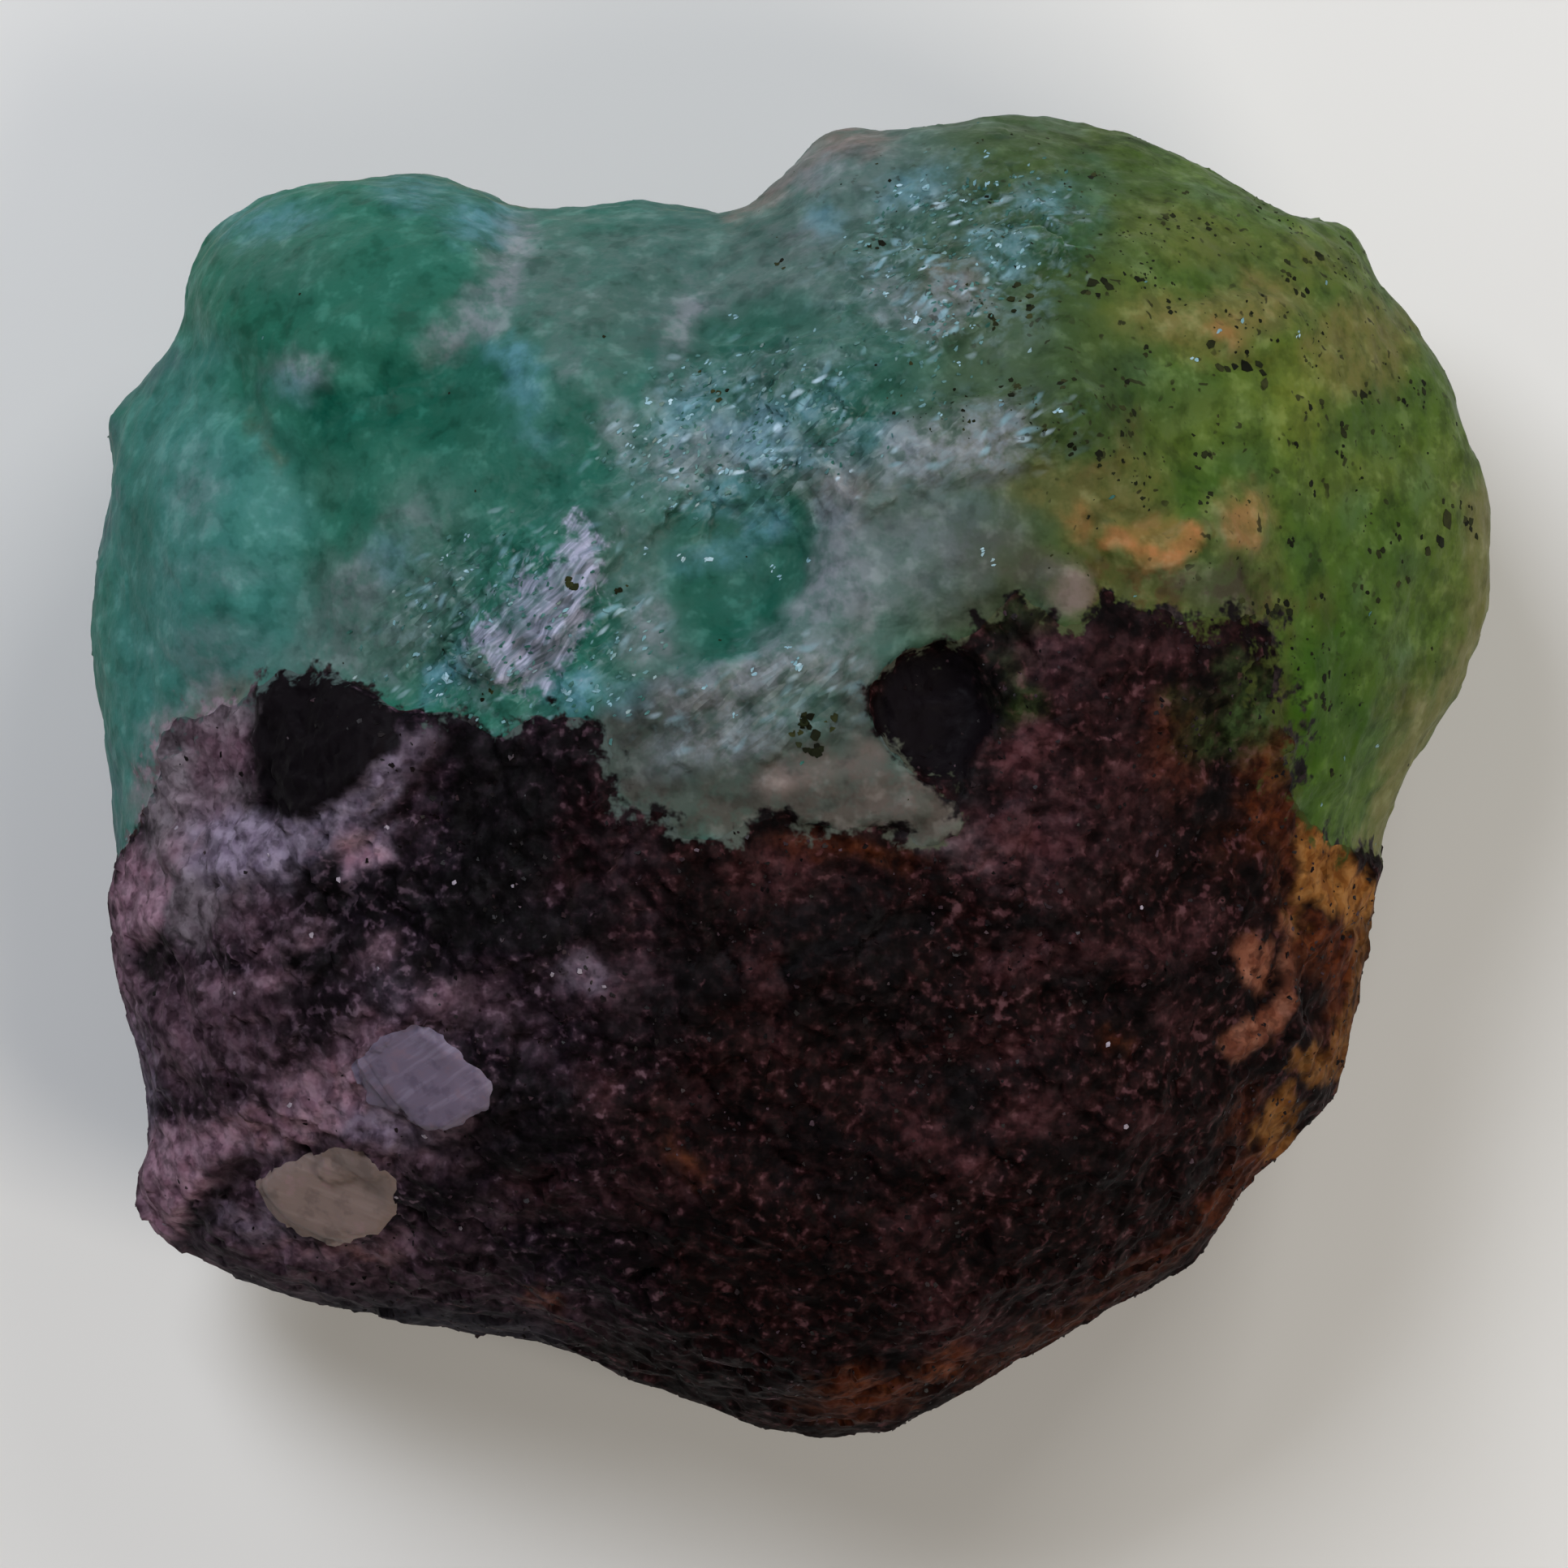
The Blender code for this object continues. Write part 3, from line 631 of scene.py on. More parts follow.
# %% Patches of the emerald, in mm
# ovals: x, y, half length, half width, turn in degrees; streaks: half width, then the line
EMERALD_PATCHES = {
    # pale blue-green wax of the left lobe
    "cyan": (1.2, (
        (-19.2, 8.2, 3.4, 4.2, 8, 0.9), (-18.6, 4.6, 3.4, 2.0, 0, 0.95),
        (-21.3, 1.5, 1.3, 4.8, 0, 0.9),
    ), (
        (0.8, 0.8, ((-19.4, 13.6), (-20.6, 12.2))),
    )),
    # grey-green haze, where the beryl is full of fine cracks
    "haze": (1.0, (
        (-4.2, 16.4, 4.6, 2.0, 0, 0.55), (-13.2, 5.6, 2.8, 2.2, 20, 0.7),
        (-6.6, 14.4, 1.8, 1.6, 0, 0.45), (4.0, 7.7, 3.1, 2.4, 25, 0.85), (1.6, 3.4, 1.4, 1.6, 0, 0.8),
        (2.4, 19.6, 2.6, 1.5, 15, 0.9), (-4.6, 0.8, 1.6, 1.9, 0, 0.8), (2.6, -0.7, 2.6, 1.0, 0, 0.7),
        (7.2, 14.6, 1.2, 1.2, 0, 0.3), (-11.6, 8.8, 1.4, 1.2, 0, 0.35), (5.4, 8.0, 1.6, 1.6, 30, 0.7),
        (0.4, 16.5, 2.6, 1.4, 10, 0.7), (-14.8, 3.9, 2.4, 1.0, 10, 0.7),
        (-16.8, 17.2, 1.8, 1.2, 0, 0.3), (-8.3, 16.5, 1.4, 2.0, 0, 0.4),
        (-5.6, 7.6, 1.4, 1.8, -20, 0.6), (-4.4, 4.6, 1.2, 1.6, 0, 0.6),
        (4.4, 18.4, 1.8, 0.9, 10, 0.5),
    ), ()),
    # deep, clear hollows
    "deep": (0.5, (
        (-14.6, 11.9, 1.3, 1.0, 0, 1.0), (-13.0, 12.3, 0.6, 1.4, -10, 1.0),
        (-12.2, 13.0, 1.5, 0.6, -15, 0.8), (-12.0, 11.6, 1.0, 0.9, 0, 0.7),
        (-10.4, 11.4, 2.2, 0.9, -8, 0.4), (-0.5, 7.2, 1.2, 2.0, -35, 0.55),
        (0.4, 7.9, 0.9, 1.1, 0, 0.4), (-1.6, 5.6, 1.4, 0.9, 25, 0.6), (-2.6, 4.6, 1.2, 0.6, 10, 0.6),
        (-0.9, 14.9, 2.0, 0.7, 10, 0.75), (-2.9, 6.6, 1.0, 1.1, 0, 0.6),
        (-13.6, 8.9, 0.9, 0.5, 0, 0.5), (4.6, 18.3, 1.8, 0.5, 15, 0.5),
        (-21.2, 8.0, 0.5, 2.4, 0, 0.5), (-18.7, 5.5, 0.6, 0.9, 0, 0.4),
        (-19.2, 3.4, 0.7, 0.6, 0, 0.3), (-14.6, 15.4, 3.0, 1.2, 10, 0.2),
        (3.4, 13.2, 1.8, 0.9, 30, 0.4), (9.3, 18.6, 1.2, 1.8, -20, 0.35),
        (-8.6, 9.6, 1.8, 0.8, 10, 0.6), (-9.6, 13.2, 0.8, 0.6, 0, 0.5),
        (-7.0, 11.6, 0.9, 1.2, 0, 0.4), (-16.6, 15.4, 1.4, 1.8, 0, 0.25),
        (2.6, 12.0, 1.2, 0.5, 25, 0.4),
    ), (
        (0.5, 0.5, ((-5.8, 5.8), (-5.6, 4.2), (-5.2, 3.0))), (0.5, 0.5, ((-6.7, 12.6), (-6.3, 10.4))),
    )),
    # dark olive-green mottling of the right side
    "shade": (0.8, (
        (11.2, 12.6, 0.9, 1.9, -10, 0.8), (9.9, 14.2, 1.4, 1.6, 0, 0.6),
        (8.8, 17.8, 1.0, 1.6, -20, 0.5), (11.4, 19.4, 1.6, 0.9, -15, 0.5),
        (12.2, 12.2, 0.9, 0.8, 0, 0.5), (7.2, 18.4, 1.0, 0.8, 0, 0.5),
        (18.2, 11.6, 0.7, 0.6, 30, 0.5), (10.0, 12.0, 0.8, 1.4, 20, 0.5),
        (12.5, 9.8, 1.4, 0.7, 0, 0.4), (17.7, 3.2, 0.4, 1.4, 10, 0.6), (19.5, 12.6, 0.8, 0.6, 0, 0.4),
        (13.0, 12.6, 1.6, 0.7, 0, 0.4), (14.4, 10.6, 1.2, 0.6, 20, 0.5),
        (14.9, 17.0, 1.4, 0.9, 0, 0.35), (10.6, 17.0, 0.8, 0.8, 0, 0.4),
        (18.6, 5.4, 0.5, 0.9, -20, 0.4), (12.2, 16.4, 0.9, 0.5, 0, 0.4),
        (19.4, 7.4, 0.8, 0.5, 30, 0.35), (9.0, 12.9, 1.0, 0.7, 0, 0.5), (8.2, 16.6, 1.2, 1.8, 0, 0.5),
        (15.6, 9.6, 0.8, 0.5, 0, 0.35),
    ), ()),
    # milk-white veils
    "milk": (0.5, (
        (-13.9, 6.5, 0.7, 1.0, -20, 0.4), (-12.3, 8.6, 0.7, 0.4, 0, 0.4),
        (-1.5, 3.3, 2.4, 0.7, 14, 0.8), (-1.4, 1.7, 1.9, 0.8, 14, 0.6),
        (-19.4, 9.4, 0.8, 1.4, 0, 0.3), (5.3, 15.6, 1.3, 0.9, 30, 0.6), (3.2, 15.8, 0.7, 0.8, 0, 0.6),
        (-3.4, 0.9, 1.1, 0.5, 20, 0.45), (1.2, 20.0, 1.2, 0.5, 20, 0.5), (1.6, 8.4, 0.7, 1.3, 0, 0.8),
        (-4.6, 5.2, 0.7, 0.9, 0, 0.6), (-2.9, 10.6, 2.2, 1.1, 10, 0.6),
        (-15.8, 13.3, 0.8, 0.5, -10, 0.75), (-3.1, 15.5, 0.7, 0.5, 0, 0.5),
        (-1.0, 11.2, 1.8, 0.9, 0, 0.6), (4.3, 15.1, 0.8, 0.4, 0, 0.6), (-7.2, 13.4, 0.4, 0.5, 0, 0.3),
        (-5.6, 11.4, 0.5, 1.2, 20, 0.5), (0.6, 17.9, 0.7, 0.4, 0, 0.4),
        (-18.6, 6.8, 1.6, 0.5, 0, 0.25), (-18.9, 4.3, 1.6, 0.8, 0, 0.3),
        (3.8, 7.2, 2.2, 1.6, 25, 0.25), (-9.6, 3.7, 1.1, 0.9, 40, 0.7), (1.6, 4.0, 0.9, 0.8, 0, 0.5),
        (2.0, 6.0, 1.1, 1.0, 0, 0.6), (0.2, 10.2, 1.4, 0.6, 10, 0.4), (-3.6, 12.6, 1.3, 0.8, 30, 0.4),
        (-0.4, 13.4, 2.0, 0.6, 15, 0.25), (2.0, 10.4, 0.8, 0.6, 0, 0.4),
    ), (
        (0.6, 0.7, ((-8.8, 18.0), (-9.2, 16.4), (-9.7, 15.4), (-10.6, 14.7), (-11.4, 14.3))),
        (0.8, 0.7, ((3.7, 11.0), (5.2, 11.2), (7.2, 11.5))),
        (0.7, 0.6, ((3.6, 10.3), (5.6, 10.4), (6.9, 10.6))),
        (0.5, 0.6, ((1.5, 6.8), (0.9, 5.4), (-0.4, 4.5))), (0.3, 0.6, ((-3.9, 14.0), (-3.3, 15.3))),
        (0.5, 0.55, ((-20.9, -1.6), (-20.9, 0.6), (-20.3, 2.2), (-18.9, 3.1))),
    )),
    # sky-blue reflections out of cracks near the surface
    "blue": (0.5, (
        (-16.9, 18.3, 1.3, 0.4, 12, 0.5), (-12.4, 19.2, 0.8, 0.4, 0, 0.5),
        (-10.0, 18.3, 1.0, 0.6, -8, 0.6), (-9.2, 13.9, 0.5, 0.5, 0, 0.6),
        (-8.6, 12.9, 0.6, 0.9, 0, 0.45), (-8.4, 11.3, 0.5, 0.4, 0, 0.3),
        (-11.2, 3.3, 0.8, 0.4, 45, 0.9), (-7.1, 2.7, 0.8, 0.5, 20, 0.9),
        (-0.7, 8.3, 0.6, 0.5, 0, 0.7), (7.0, 17.3, 1.1, 0.9, 0, 0.45),
        (4.1, 19.4, 0.9, 0.35, 25, 0.6), (8.4, 19.0, 0.7, 0.45, 0, 0.5),
        (1.3, 18.3, 0.5, 0.4, 0, 0.5), (-16.2, 12.9, 0.6, 0.4, 0, 0.4),
        (-3.2, 12.1, 1.2, 0.5, 45, 0.6), (-0.6, 10.8, 1.1, 0.4, 0, 0.8),
        (-2.4, 7.3, 1.0, 0.4, 10, 0.5), (-13.0, 7.2, 0.8, 0.8, 0, 0.3),
        (0.2, 12.0, 1.6, 0.5, 20, 0.5), (-1.4, 11.6, 1.0, 0.4, 10, 0.6),
        (2.4, 11.2, 1.0, 0.4, 25, 0.35), (-1.9, 9.4, 1.0, 0.4, 20, 0.5),
        (-5.2, 2.7, 0.6, 0.4, 0, 0.4),
    ), ()),
    # painted shade: grey that runs down the left rim, where the light falls off
    "dusk": (0.5, (), (
        (0.5, 0.9, ((-22.6, 9.0), (-23.3, 6.4), (-23.6, 4.2), (-23.3, 2.4), (-22.6, 0.2), (-22.3, -2.4))),
        (0.3, 0.6, ((-22.3, 10.2), (-22.2, 11.4), (-22.6, 12.0), (-21.6, 12.9), (-20.2, 13.9))),
    )),
    # pink-grey feldspar grown into the edge
    "blush": (0.45, (
        (2.0, 20.9, 1.3, 0.55, 5, 0.95), (5.4, 16.4, 0.9, 0.7, 0, 0.6), (9.3, 6.2, 0.7, 0.8, 0, 0.9),
        (-18.6, 2.6, 1.1, 0.6, 25, 0.7), (-0.4, -0.1, 0.6, 0.4, 0, 0.7),
        (0.9, 0.35, 1.2, 0.35, 0, 0.4), (2.6, 0.8, 0.6, 0.5, 0, 0.5), (1.8, 9.5, 1.1, 0.5, 0, 0.75),
        (-20.8, -0.8, 0.6, 1.4, 0, 0.6), (-20.2, 1.6, 0.5, 0.6, 0, 0.6),
        (6.8, 11.0, 1.6, 0.6, 10, 0.3), (-1.6, 3.1, 2.0, 0.5, 14, 0.5), (0.2, 0.1, 1.0, 0.3, 20, 0.6),
        (3.6, -0.9, 1.8, 0.7, 0, 0.25),
    ), (
        (0.35, 0.8, ((-1.6, 18.6), (-0.3, 19.3), (0.6, 20.2))),
    )),
    # clay-grey veil where the beryl runs out over the rock
    "clay": (0.6, (
        (2.0, -0.5, 4.2, 1.6, -8, 0.95), (-3.2, -0.9, 2.4, 1.2, -10, 0.9),
        (5.2, -1.4, 1.6, 1.3, -20, 0.9), (-5.2, 0.8, 0.9, 1.6, 0, 0.9), (6.8, 7.6, 1.6, 1.0, 20, 0.5),
        (4.6, 0.2, 0.9, 0.6, 0, 0.6), (-4.0, 2.0, 1.5, 1.1, 0, 0.75), (-1.6, 0.8, 1.6, 0.8, 10, 0.6),
        (2.4, 2.2, 0.7, 1.2, 0, 0.75), (1.2, 1.2, 1.6, 0.6, 10, 0.6), (-2.0, 2.0, 1.6, 0.8, 10, 0.5),
        (8.0, 6.9, 0.8, 0.5, 30, 0.6), (6.2, 5.6, 1.2, 0.6, 20, 0.6),
    ), ()),
    # smoky, dark beryl
    "smoke": (0.6, (
        (-4.4, 1.0, 1.8, 1.4, 0, 0.5), (-3.8, 2.3, 1.4, 1.0, 0, 0.6), (2.4, 1.9, 0.9, 1.3, 0, 0.8),
        (3.0, 3.4, 0.7, 0.7, 0, 0.4), (8.3, 6.2, 0.9, 0.9, 0, 0.5), (14.2, 6.2, 1.4, 0.9, 0, 0.5),
        (-1.4, 0.2, 2.0, 0.7, 10, 0.4), (4.4, 8.4, 1.4, 0.7, 20, 0.3), (6.2, 8.2, 1.0, 0.8, 20, 0.35),
        (-4.6, 3.9, 1.2, 0.8, 0, 0.35), (8.2, 12.4, 0.9, 0.7, 0, 0.5), (14.2, 8.0, 1.0, 0.7, 0, 0.3),
        (-4.2, 14.4, 1.2, 1.0, 0, 0.35), (0.0, 17.8, 1.2, 0.7, 10, 0.4),
        (-2.2, 1.2, 1.6, 0.6, 10, 0.3),
    ), ()),
    # tan stain
    "ochre": (0.6, (
        (13.2, 14.9, 1.9, 0.9, -10, 0.8), (15.4, 15.5, 1.5, 0.9, 10, 0.8),
        (18.8, 14.2, 1.7, 1.6, 0, 0.65), (14.9, 8.4, 1.0, 1.1, 0, 1.0), (8.4, 9.6, 1.4, 0.8, 0, 0.5),
        (10.8, 9.6, 1.6, 0.9, 20, 0.5), (13.4, 17.8, 2.2, 1.0, -15, 0.3),
        (17.4, 17.0, 1.2, 0.6, -20, 0.4), (11.2, 8.3, 1.4, 0.7, 0, 0.6),
    ), (
        (0.5, 0.8, ((9.6, 9.4), (9.2, 8.8), (10.0, 8.2))),
    )),
    # orange feldspar crescent
    "orange": (0.25, (
        (12.2, 8.0, 1.1, 0.5, 0, 0.35), (9.3, 8.8, 0.4, 0.35, 0, 0.35),
        (14.3, 14.6, 0.5, 0.25, -10, 0.45), (14.9, 8.5, 0.7, 0.8, 0, 0.4),
        (9.9, 8.2, 0.4, 0.3, 0, 0.3),
    ), (
        (0.32, 0.9, ((10.9, 7.8), (11.4, 7.5), (12.2, 7.2), (13.0, 7.6), (13.4, 8.0))),
    )),
    # yellow-green, stained by iron
    # yellow-green of the right side, partly its own colour and partly a painted tint of the warm light
    # there
    "yellow": (0.8, (
        (16.9, 12.5, 1.0, 1.8, 0, 0.75), (14.4, 12.3, 2.4, 0.9, 10, 0.35),
        (12.6, 10.8, 1.4, 0.9, 0, 0.2), (11.0, 15.6, 0.7, 1.3, -10, 0.4),
        (18.8, 9.9, 1.9, 0.6, 15, 0.5), (16.6, 13.6, 1.2, 0.6, 0, 0.4), (22.0, 8.0, 1.0, 3.0, 0, 0.3),
    ), ()),
    # clear, vivid green
    "vivid": (0.6, (
        (16.9, 2.2, 0.6, 1.2, 0, 0.95), (16.9, 0.6, 0.5, 1.2, 0, 0.9), (18.3, 7.6, 1.8, 2.0, 0, 0.2),
        (13.0, 9.8, 1.6, 0.7, 10, 0.5), (17.8, 4.2, 1.2, 1.6, 0, 0.6),
        (17.4, -0.9, 0.9, 0.8, 0, 0.45), (18.4, 1.4, 1.0, 1.8, -15, 0.45),
        (13.2, 12.6, 1.8, 0.8, 10, 0.3),
    ), ()),
    # brown-olive stain beside the mica
    "olive": (0.4, (
        (12.4, 6.2, 2.8, 0.8, 0, 0.95), (20.2, 2.7, 0.5, 1.1, -25, 0.5),
        (14.7, 6.3, 0.9, 0.8, 0, 0.9), (17.5, 5.6, 0.35, 0.7, 0, 0.6),
        (15.0, 14.0, 0.7, 0.25, -20, 0.7), (15.9, 3.6, 0.5, 1.8, 0, 0.7),
        (16.4, 0.8, 0.4, 1.3, 0, 0.6), (15.6, 5.7, 0.8, 0.5, 0, 0.8), (10.4, 6.9, 1.4, 0.5, -10, 0.7),
        (8.0, 6.6, 0.8, 0.5, 0, 0.5), (16.0, 6.8, 0.5, 0.7, 0, 0.4), (10.3, 5.9, 0.5, 0.5, 0, 0.7),
    ), (
        (0.28, 0.45, ((-17.5, 11.8), (-17.1, 11.1), (-16.6, 10.6))),
        (0.3, 0.5, ((10.0, 9.9), (10.7, 10.6), (11.2, 11.6))), (0.5, 0.6, ((14.2, 5.6), (14.6, 5.2))),
    )),
    # painted light: the right rim paler where the side turns toward the warm light
    "rim": (0.5, (), (
        (0.6, 0.9, ((22.7, 9.2), (22.9, 6.0), (22.2, 3.8), (21.0, 2.0), (19.9, -0.2), (19.4, -2.2))),
    )),
}
TUFT = ((-6.6, 8.5), (-6.0, 8.0), (-6.2, 6.6), (-6.8, 4.8), (-7.8, 3.0), (-9.2, 3.2),
        (-10.2, 4.4), (-9.0, 6.0), (-8.1, 6.9), (-7.2, 7.7))  # outline of the white fibres
# the colour's turn from blue-green to yellow-green along x in mm: partly the stone's own, partly a
# painted tint of the light on each side
GREEN_WARMTH = ((-24, 0.0), (-6, 0.10), (3, 0.24), (7, 0.50), (10, 0.66), (13, 0.86), (24, 0.82))

# %% Patches of the schist, in mm
ROCK_PATCHES = {
    # dull mauve, where feldspar and mica are mixed finely
    "mauve": (0.9, (
        (-18.6, -8.4, 2.0, 1.3, 0, 1.0), (-20.0, -8.0, 1.0, 1.8, 0, 0.95),
        (-13.9, -6.0, 1.0, 0.6, 0, 0.4), (-10.7, -7.3, 1.2, 0.6, 20, 0.55),
        (-9.0, -8.1, 1.2, 0.6, -30, 0.3), (-17.9, -4.4, 1.7, 0.9, 0, 0.85),
        (-12.8, -1.6, 1.0, 1.2, 20, 0.15), (-12.4, 0.6, 0.9, 0.7, 0, 0.35),
        (-18.9, 0.6, 1.4, 1.9, 0, 0.9), (-6.2, -6.6, 1.6, 0.9, 0, 0.4),
        (-12.4, -7.9, 1.4, 0.7, 0, 0.5), (-16.6, -7.2, 1.0, 0.6, 0, 0.3),
        (-13.2, -11.9, 2.4, 0.9, 10, 0.9), (-17.0, -10.8, 2.0, 0.8, 0, 0.6),
        (-17.2, -15.6, 2.0, 0.7, -15, 0.6), (-14.0, -16.2, 1.6, 0.4, -10, 0.9),
        (-8.2, -17.0, 1.4, 0.4, -20, 0.6), (-5.0, -3.2, 0.8, 2.0, 10, 0.15),
        (-11.8, -15.2, 1.0, 0.4, 0, 0.6), (8.6, 3.9, 1.0, 0.9, 0, 0.2),
        (-9.6, -14.3, 0.6, 0.3, 20, 0.5), (7.6, -1.6, 2.6, 1.6, 0, 0.15),
        (-14.6, -9.2, 1.4, 0.9, 0, 0.95), (-18.6, -12.6, 2.0, 1.2, 0, 0.9),
        (-10.6, -11.6, 1.0, 0.6, 30, 0.6), (-12.2, -12.2, 1.2, 0.6, 0, 0.9),
        (-19.8, -14.0, 1.0, 0.9, 0, 0.7), (-18.0, -14.0, 1.2, 0.6, 0, 0.7),
    ), ()),
    # ash-grey feldspar beside the beryl
    "ash": (0.5, (
        (-20.2, -0.2, 1.1, 1.6, 0, 0.95), (-18.4, 1.9, 1.1, 0.6, 20, 0.8),
        (-20.0, -2.4, 1.0, 1.4, 0, 0.7), (-18.3, -0.6, 0.8, 0.7, 0, 0.5),
        (-19.6, -4.6, 0.8, 0.9, 0, 0.7), (-18.9, -3.4, 1.4, 0.8, 0, 0.5),
        (5.0, -1.8, 1.2, 0.5, -20, 0.35),
    ), ()),
    # maroon, where fine red-brown mica is mixed in
    "rose": (0.7, (
        (-0.2, -3.0, 1.6, 0.7, 0, 0.5), (7.7, 0.9, 1.1, 0.6, 10, 0.8), (8.2, -2.0, 1.3, 0.7, 0, 0.95),
        (9.3, -0.4, 1.4, 0.7, 0, 0.4), (6.0, -1.8, 1.2, 0.8, 0, 0.5), (7.7, -5.9, 1.0, 0.4, 10, 0.85),
        (7.0, -8.8, 0.9, 0.28, 5, 0.75), (-0.8, -6.5, 0.4, 0.6, 0, 0.6),
        (8.2, -10.9, 0.9, 0.45, 10, 0.8), (12.9, -4.9, 0.9, 0.35, 20, 0.6),
        (12.8, -7.6, 0.5, 0.6, 0, 0.4), (-7.3, -3.2, 0.6, 0.4, 0, 0.2), (12.6, 4.4, 1.6, 0.8, 0, 0.2),
        (8.9, 4.2, 1.4, 1.1, 0, 0.35), (10.9, 2.2, 1.4, 1.0, 0, 0.15), (11.6, 0.0, 1.4, 1.0, 0, 0.4),
        (11.4, -2.0, 0.8, 0.8, 0, 0.3), (8.8, -3.6, 1.0, 0.5, 0, 0.3),
        (3.5, -10.4, 0.9, 0.5, 20, 0.2), (-0.2, -8.6, 0.6, 0.5, 0, 0.3),
        (5.5, -17.8, 1.4, 1.0, 0, 0.3), (4.2, -14.4, 0.8, 0.6, 0, 0.25),
        (11.6, -11.4, 0.7, 0.5, 0, 0.4), (-6.2, -10.2, 0.6, 0.9, 0, 0.3),
        (-3.2, -10.4, 0.5, 0.5, 0, 0.3), (-8.0, -13.6, 1.0, 0.6, 0, 0.45),
        (-4.6, -13.6, 1.4, 0.9, 0, 0.3), (3.8, -15.8, 1.0, 0.6, 0, 0.4),
    ), (
        (0.28, 0.85, ((4.3, -11.5), (5.2, -12.2), (6.5, -12.8))),
        (0.3, 0.4, ((9.6, -5.6), (11.4, -6.0), (13.2, -5.6))),
    )),
    # rust along cracks
    "rust": (0.5, (
        (2.2, -2.4, 1.0, 0.22, -8, 0.75), (0.4, -2.2, 1.2, 0.3, 5, 0.25),
        (15.6, -0.4, 0.6, 1.5, 0, 0.8), (17.7, -5.7, 1.0, 1.1, 0, 0.9), (16.2, 1.2, 0.4, 0.7, 0, 0.7),
        (17.9, -7.6, 0.5, 1.4, 0, 0.8), (5.2, -19.1, 0.8, 0.5, 30, 0.9),
        (2.4, -20.2, 1.8, 0.7, 10, 0.7), (-3.3, -12.6, 0.35, 0.15, -50, 0.7),
        (14.9, -11.0, 0.4, 0.7, -20, 0.5), (10.5, -8.7, 0.25, 0.2, 0, 0.7),
        (12.6, 1.0, 1.0, 1.6, 0, 0.3), (14.4, -1.9, 0.5, 0.9, 0, 0.2), (16.3, -2.0, 0.5, 1.6, 0, 0.6),
    ), (
        (0.5, 0.6, ((15.8, -12.3), (14.8, -13.1), (14.2, -14.0))),
        (0.35, 0.35, ((14.0, -14.4), (9.0, -17.8), (6.0, -19.8))),
    )),
    # beryl that shows through the rock
    "green": (0.5, (
        (15.1, 1.9, 1.0, 0.9, 0, 0.9), (13.9, 1.2, 0.8, 0.6, 0, 0.6), (15.3, 3.1, 0.6, 0.6, 0, 0.6),
        (7.6, 2.4, 0.9, 0.8, 0, 0.5), (7.7, 5.3, 0.8, 0.4, 0, 0.5), (7.3, 3.9, 0.6, 0.5, 0, 0.45),
        (14.4, 3.6, 0.5, 0.5, 0, 0.4), (13.0, 2.4, 0.7, 0.5, 0, 0.35), (16.0, 0.3, 0.3, 0.5, 0, 0.5),
    ), ()),
    # grey-lilac feldspar
    "lilac": (0.5, (
        (-17.7, -2.4, 1.9, 1.1, 0, 1.0), (-6.8, -6.4, 0.7, 0.5, 0, 0.3),
        (-13.2, -11.3, 1.6, 0.5, -15, 0.7), (-17.8, -14.6, 1.2, 0.4, -10, 0.5),
        (-19.0, -1.4, 0.7, 0.6, 0, 0.6), (-14.0, -2.2, 0.9, 0.7, 0, 0.8),
        (-12.9, -7.0, 0.8, 0.7, 0, 0.15), (-21.3, -9.6, 0.5, 2.0, 12, 0.5),
    ), (
        (0.6, 0.7, ((-13.2, 0.3), (-13.8, -0.5), (-14.8, -1.3), (-16.2, -2.0))),
        (0.35, 0.35, ((-12.9, 0.7), (-12.0, 1.2))),
    )),
    # black: mica books with no grain to see, and the hollows and grooves of the rock's forms, which are
    # painted black too
    "biotite": (0.4, (
        (0.6, 1.9, 0.4, 0.2, 35, 1), (-20.8, -6.0, 0.6, 0.8, 0, 0.8), (14.0, -0.7, 0.5, 0.7, 0, 1),
        (17.4, -7.2, 0.45, 1.2, 0, 0.9), (10.5, -13.3, 1.2, 0.4, 0, 1), (7.9, -4.9, 1.1, 0.4, 15, 1),
        (-9.4, -1.6, 1.8, 3.2, 0, 1), (-3.0, -5.2, 1.4, 1.4, 0, 0.7), (1.2, -7.4, 1.6, 0.7, 0, 0.7),
        (-15.4, -5.6, 1.4, 0.8, 10, 0.95), (-7.2, 0.8, 1.6, 1.0, 0, 0.6),
        (5.9, -10.2, 0.6, 1.0, 0, 1), (-8.4, -11.0, 1.8, 1.6, 0, 0.8), (-10.0, -4.6, 1.8, 1.2, 0, 1),
        (3.4, -7.6, 1.4, 1.0, 0, 0.6), (-15.2, -3.8, 1.2, 0.8, 0, 0.8),
        (-19.1, 1.4, 0.6, 0.25, 0, 0.7), (-16.0, -8.2, 0.9, 0.5, 0, 0.6),
        (6.4, 2.6, 0.9, 1.4, 0, 0.9), (5.8, 0.0, 0.9, 0.8, 0, 0.8), (-4.0, -7.8, 1.6, 1.2, 0, 0.5),
        (1.4, -4.4, 1.6, 0.8, 0, 0.7), (-12.4, -3.6, 1.4, 0.9, 0, 0.7), (9.4, -6.6, 0.8, 0.4, 0, 0.6),
        (-8.2, -5.0, 1.4, 0.9, 0, 0.9), (-16.0, -6.6, 1.2, 0.9, 0, 0.5),
        (7.2, 4.6, 1.0, 0.7, 30, 0.8), (-5.4, -0.6, 0.9, 0.9, 0, 0.5), (10.6, 5.3, 0.9, 0.5, 0, 0.6),
        (-6.4, -4.2, 0.9, 0.9, 0, 0.6), (-11.4, -6.0, 0.9, 0.5, 0, 0.6),
        (2.6, -5.6, 1.4, 0.9, 10, 0.8), (10.0, -3.4, 0.8, 0.4, 0, 0.5), (13.4, 3.0, 0.5, 0.9, 0, 0.4),
        (-18.9, -0.6, 0.3, 0.5, 0, 0.5),
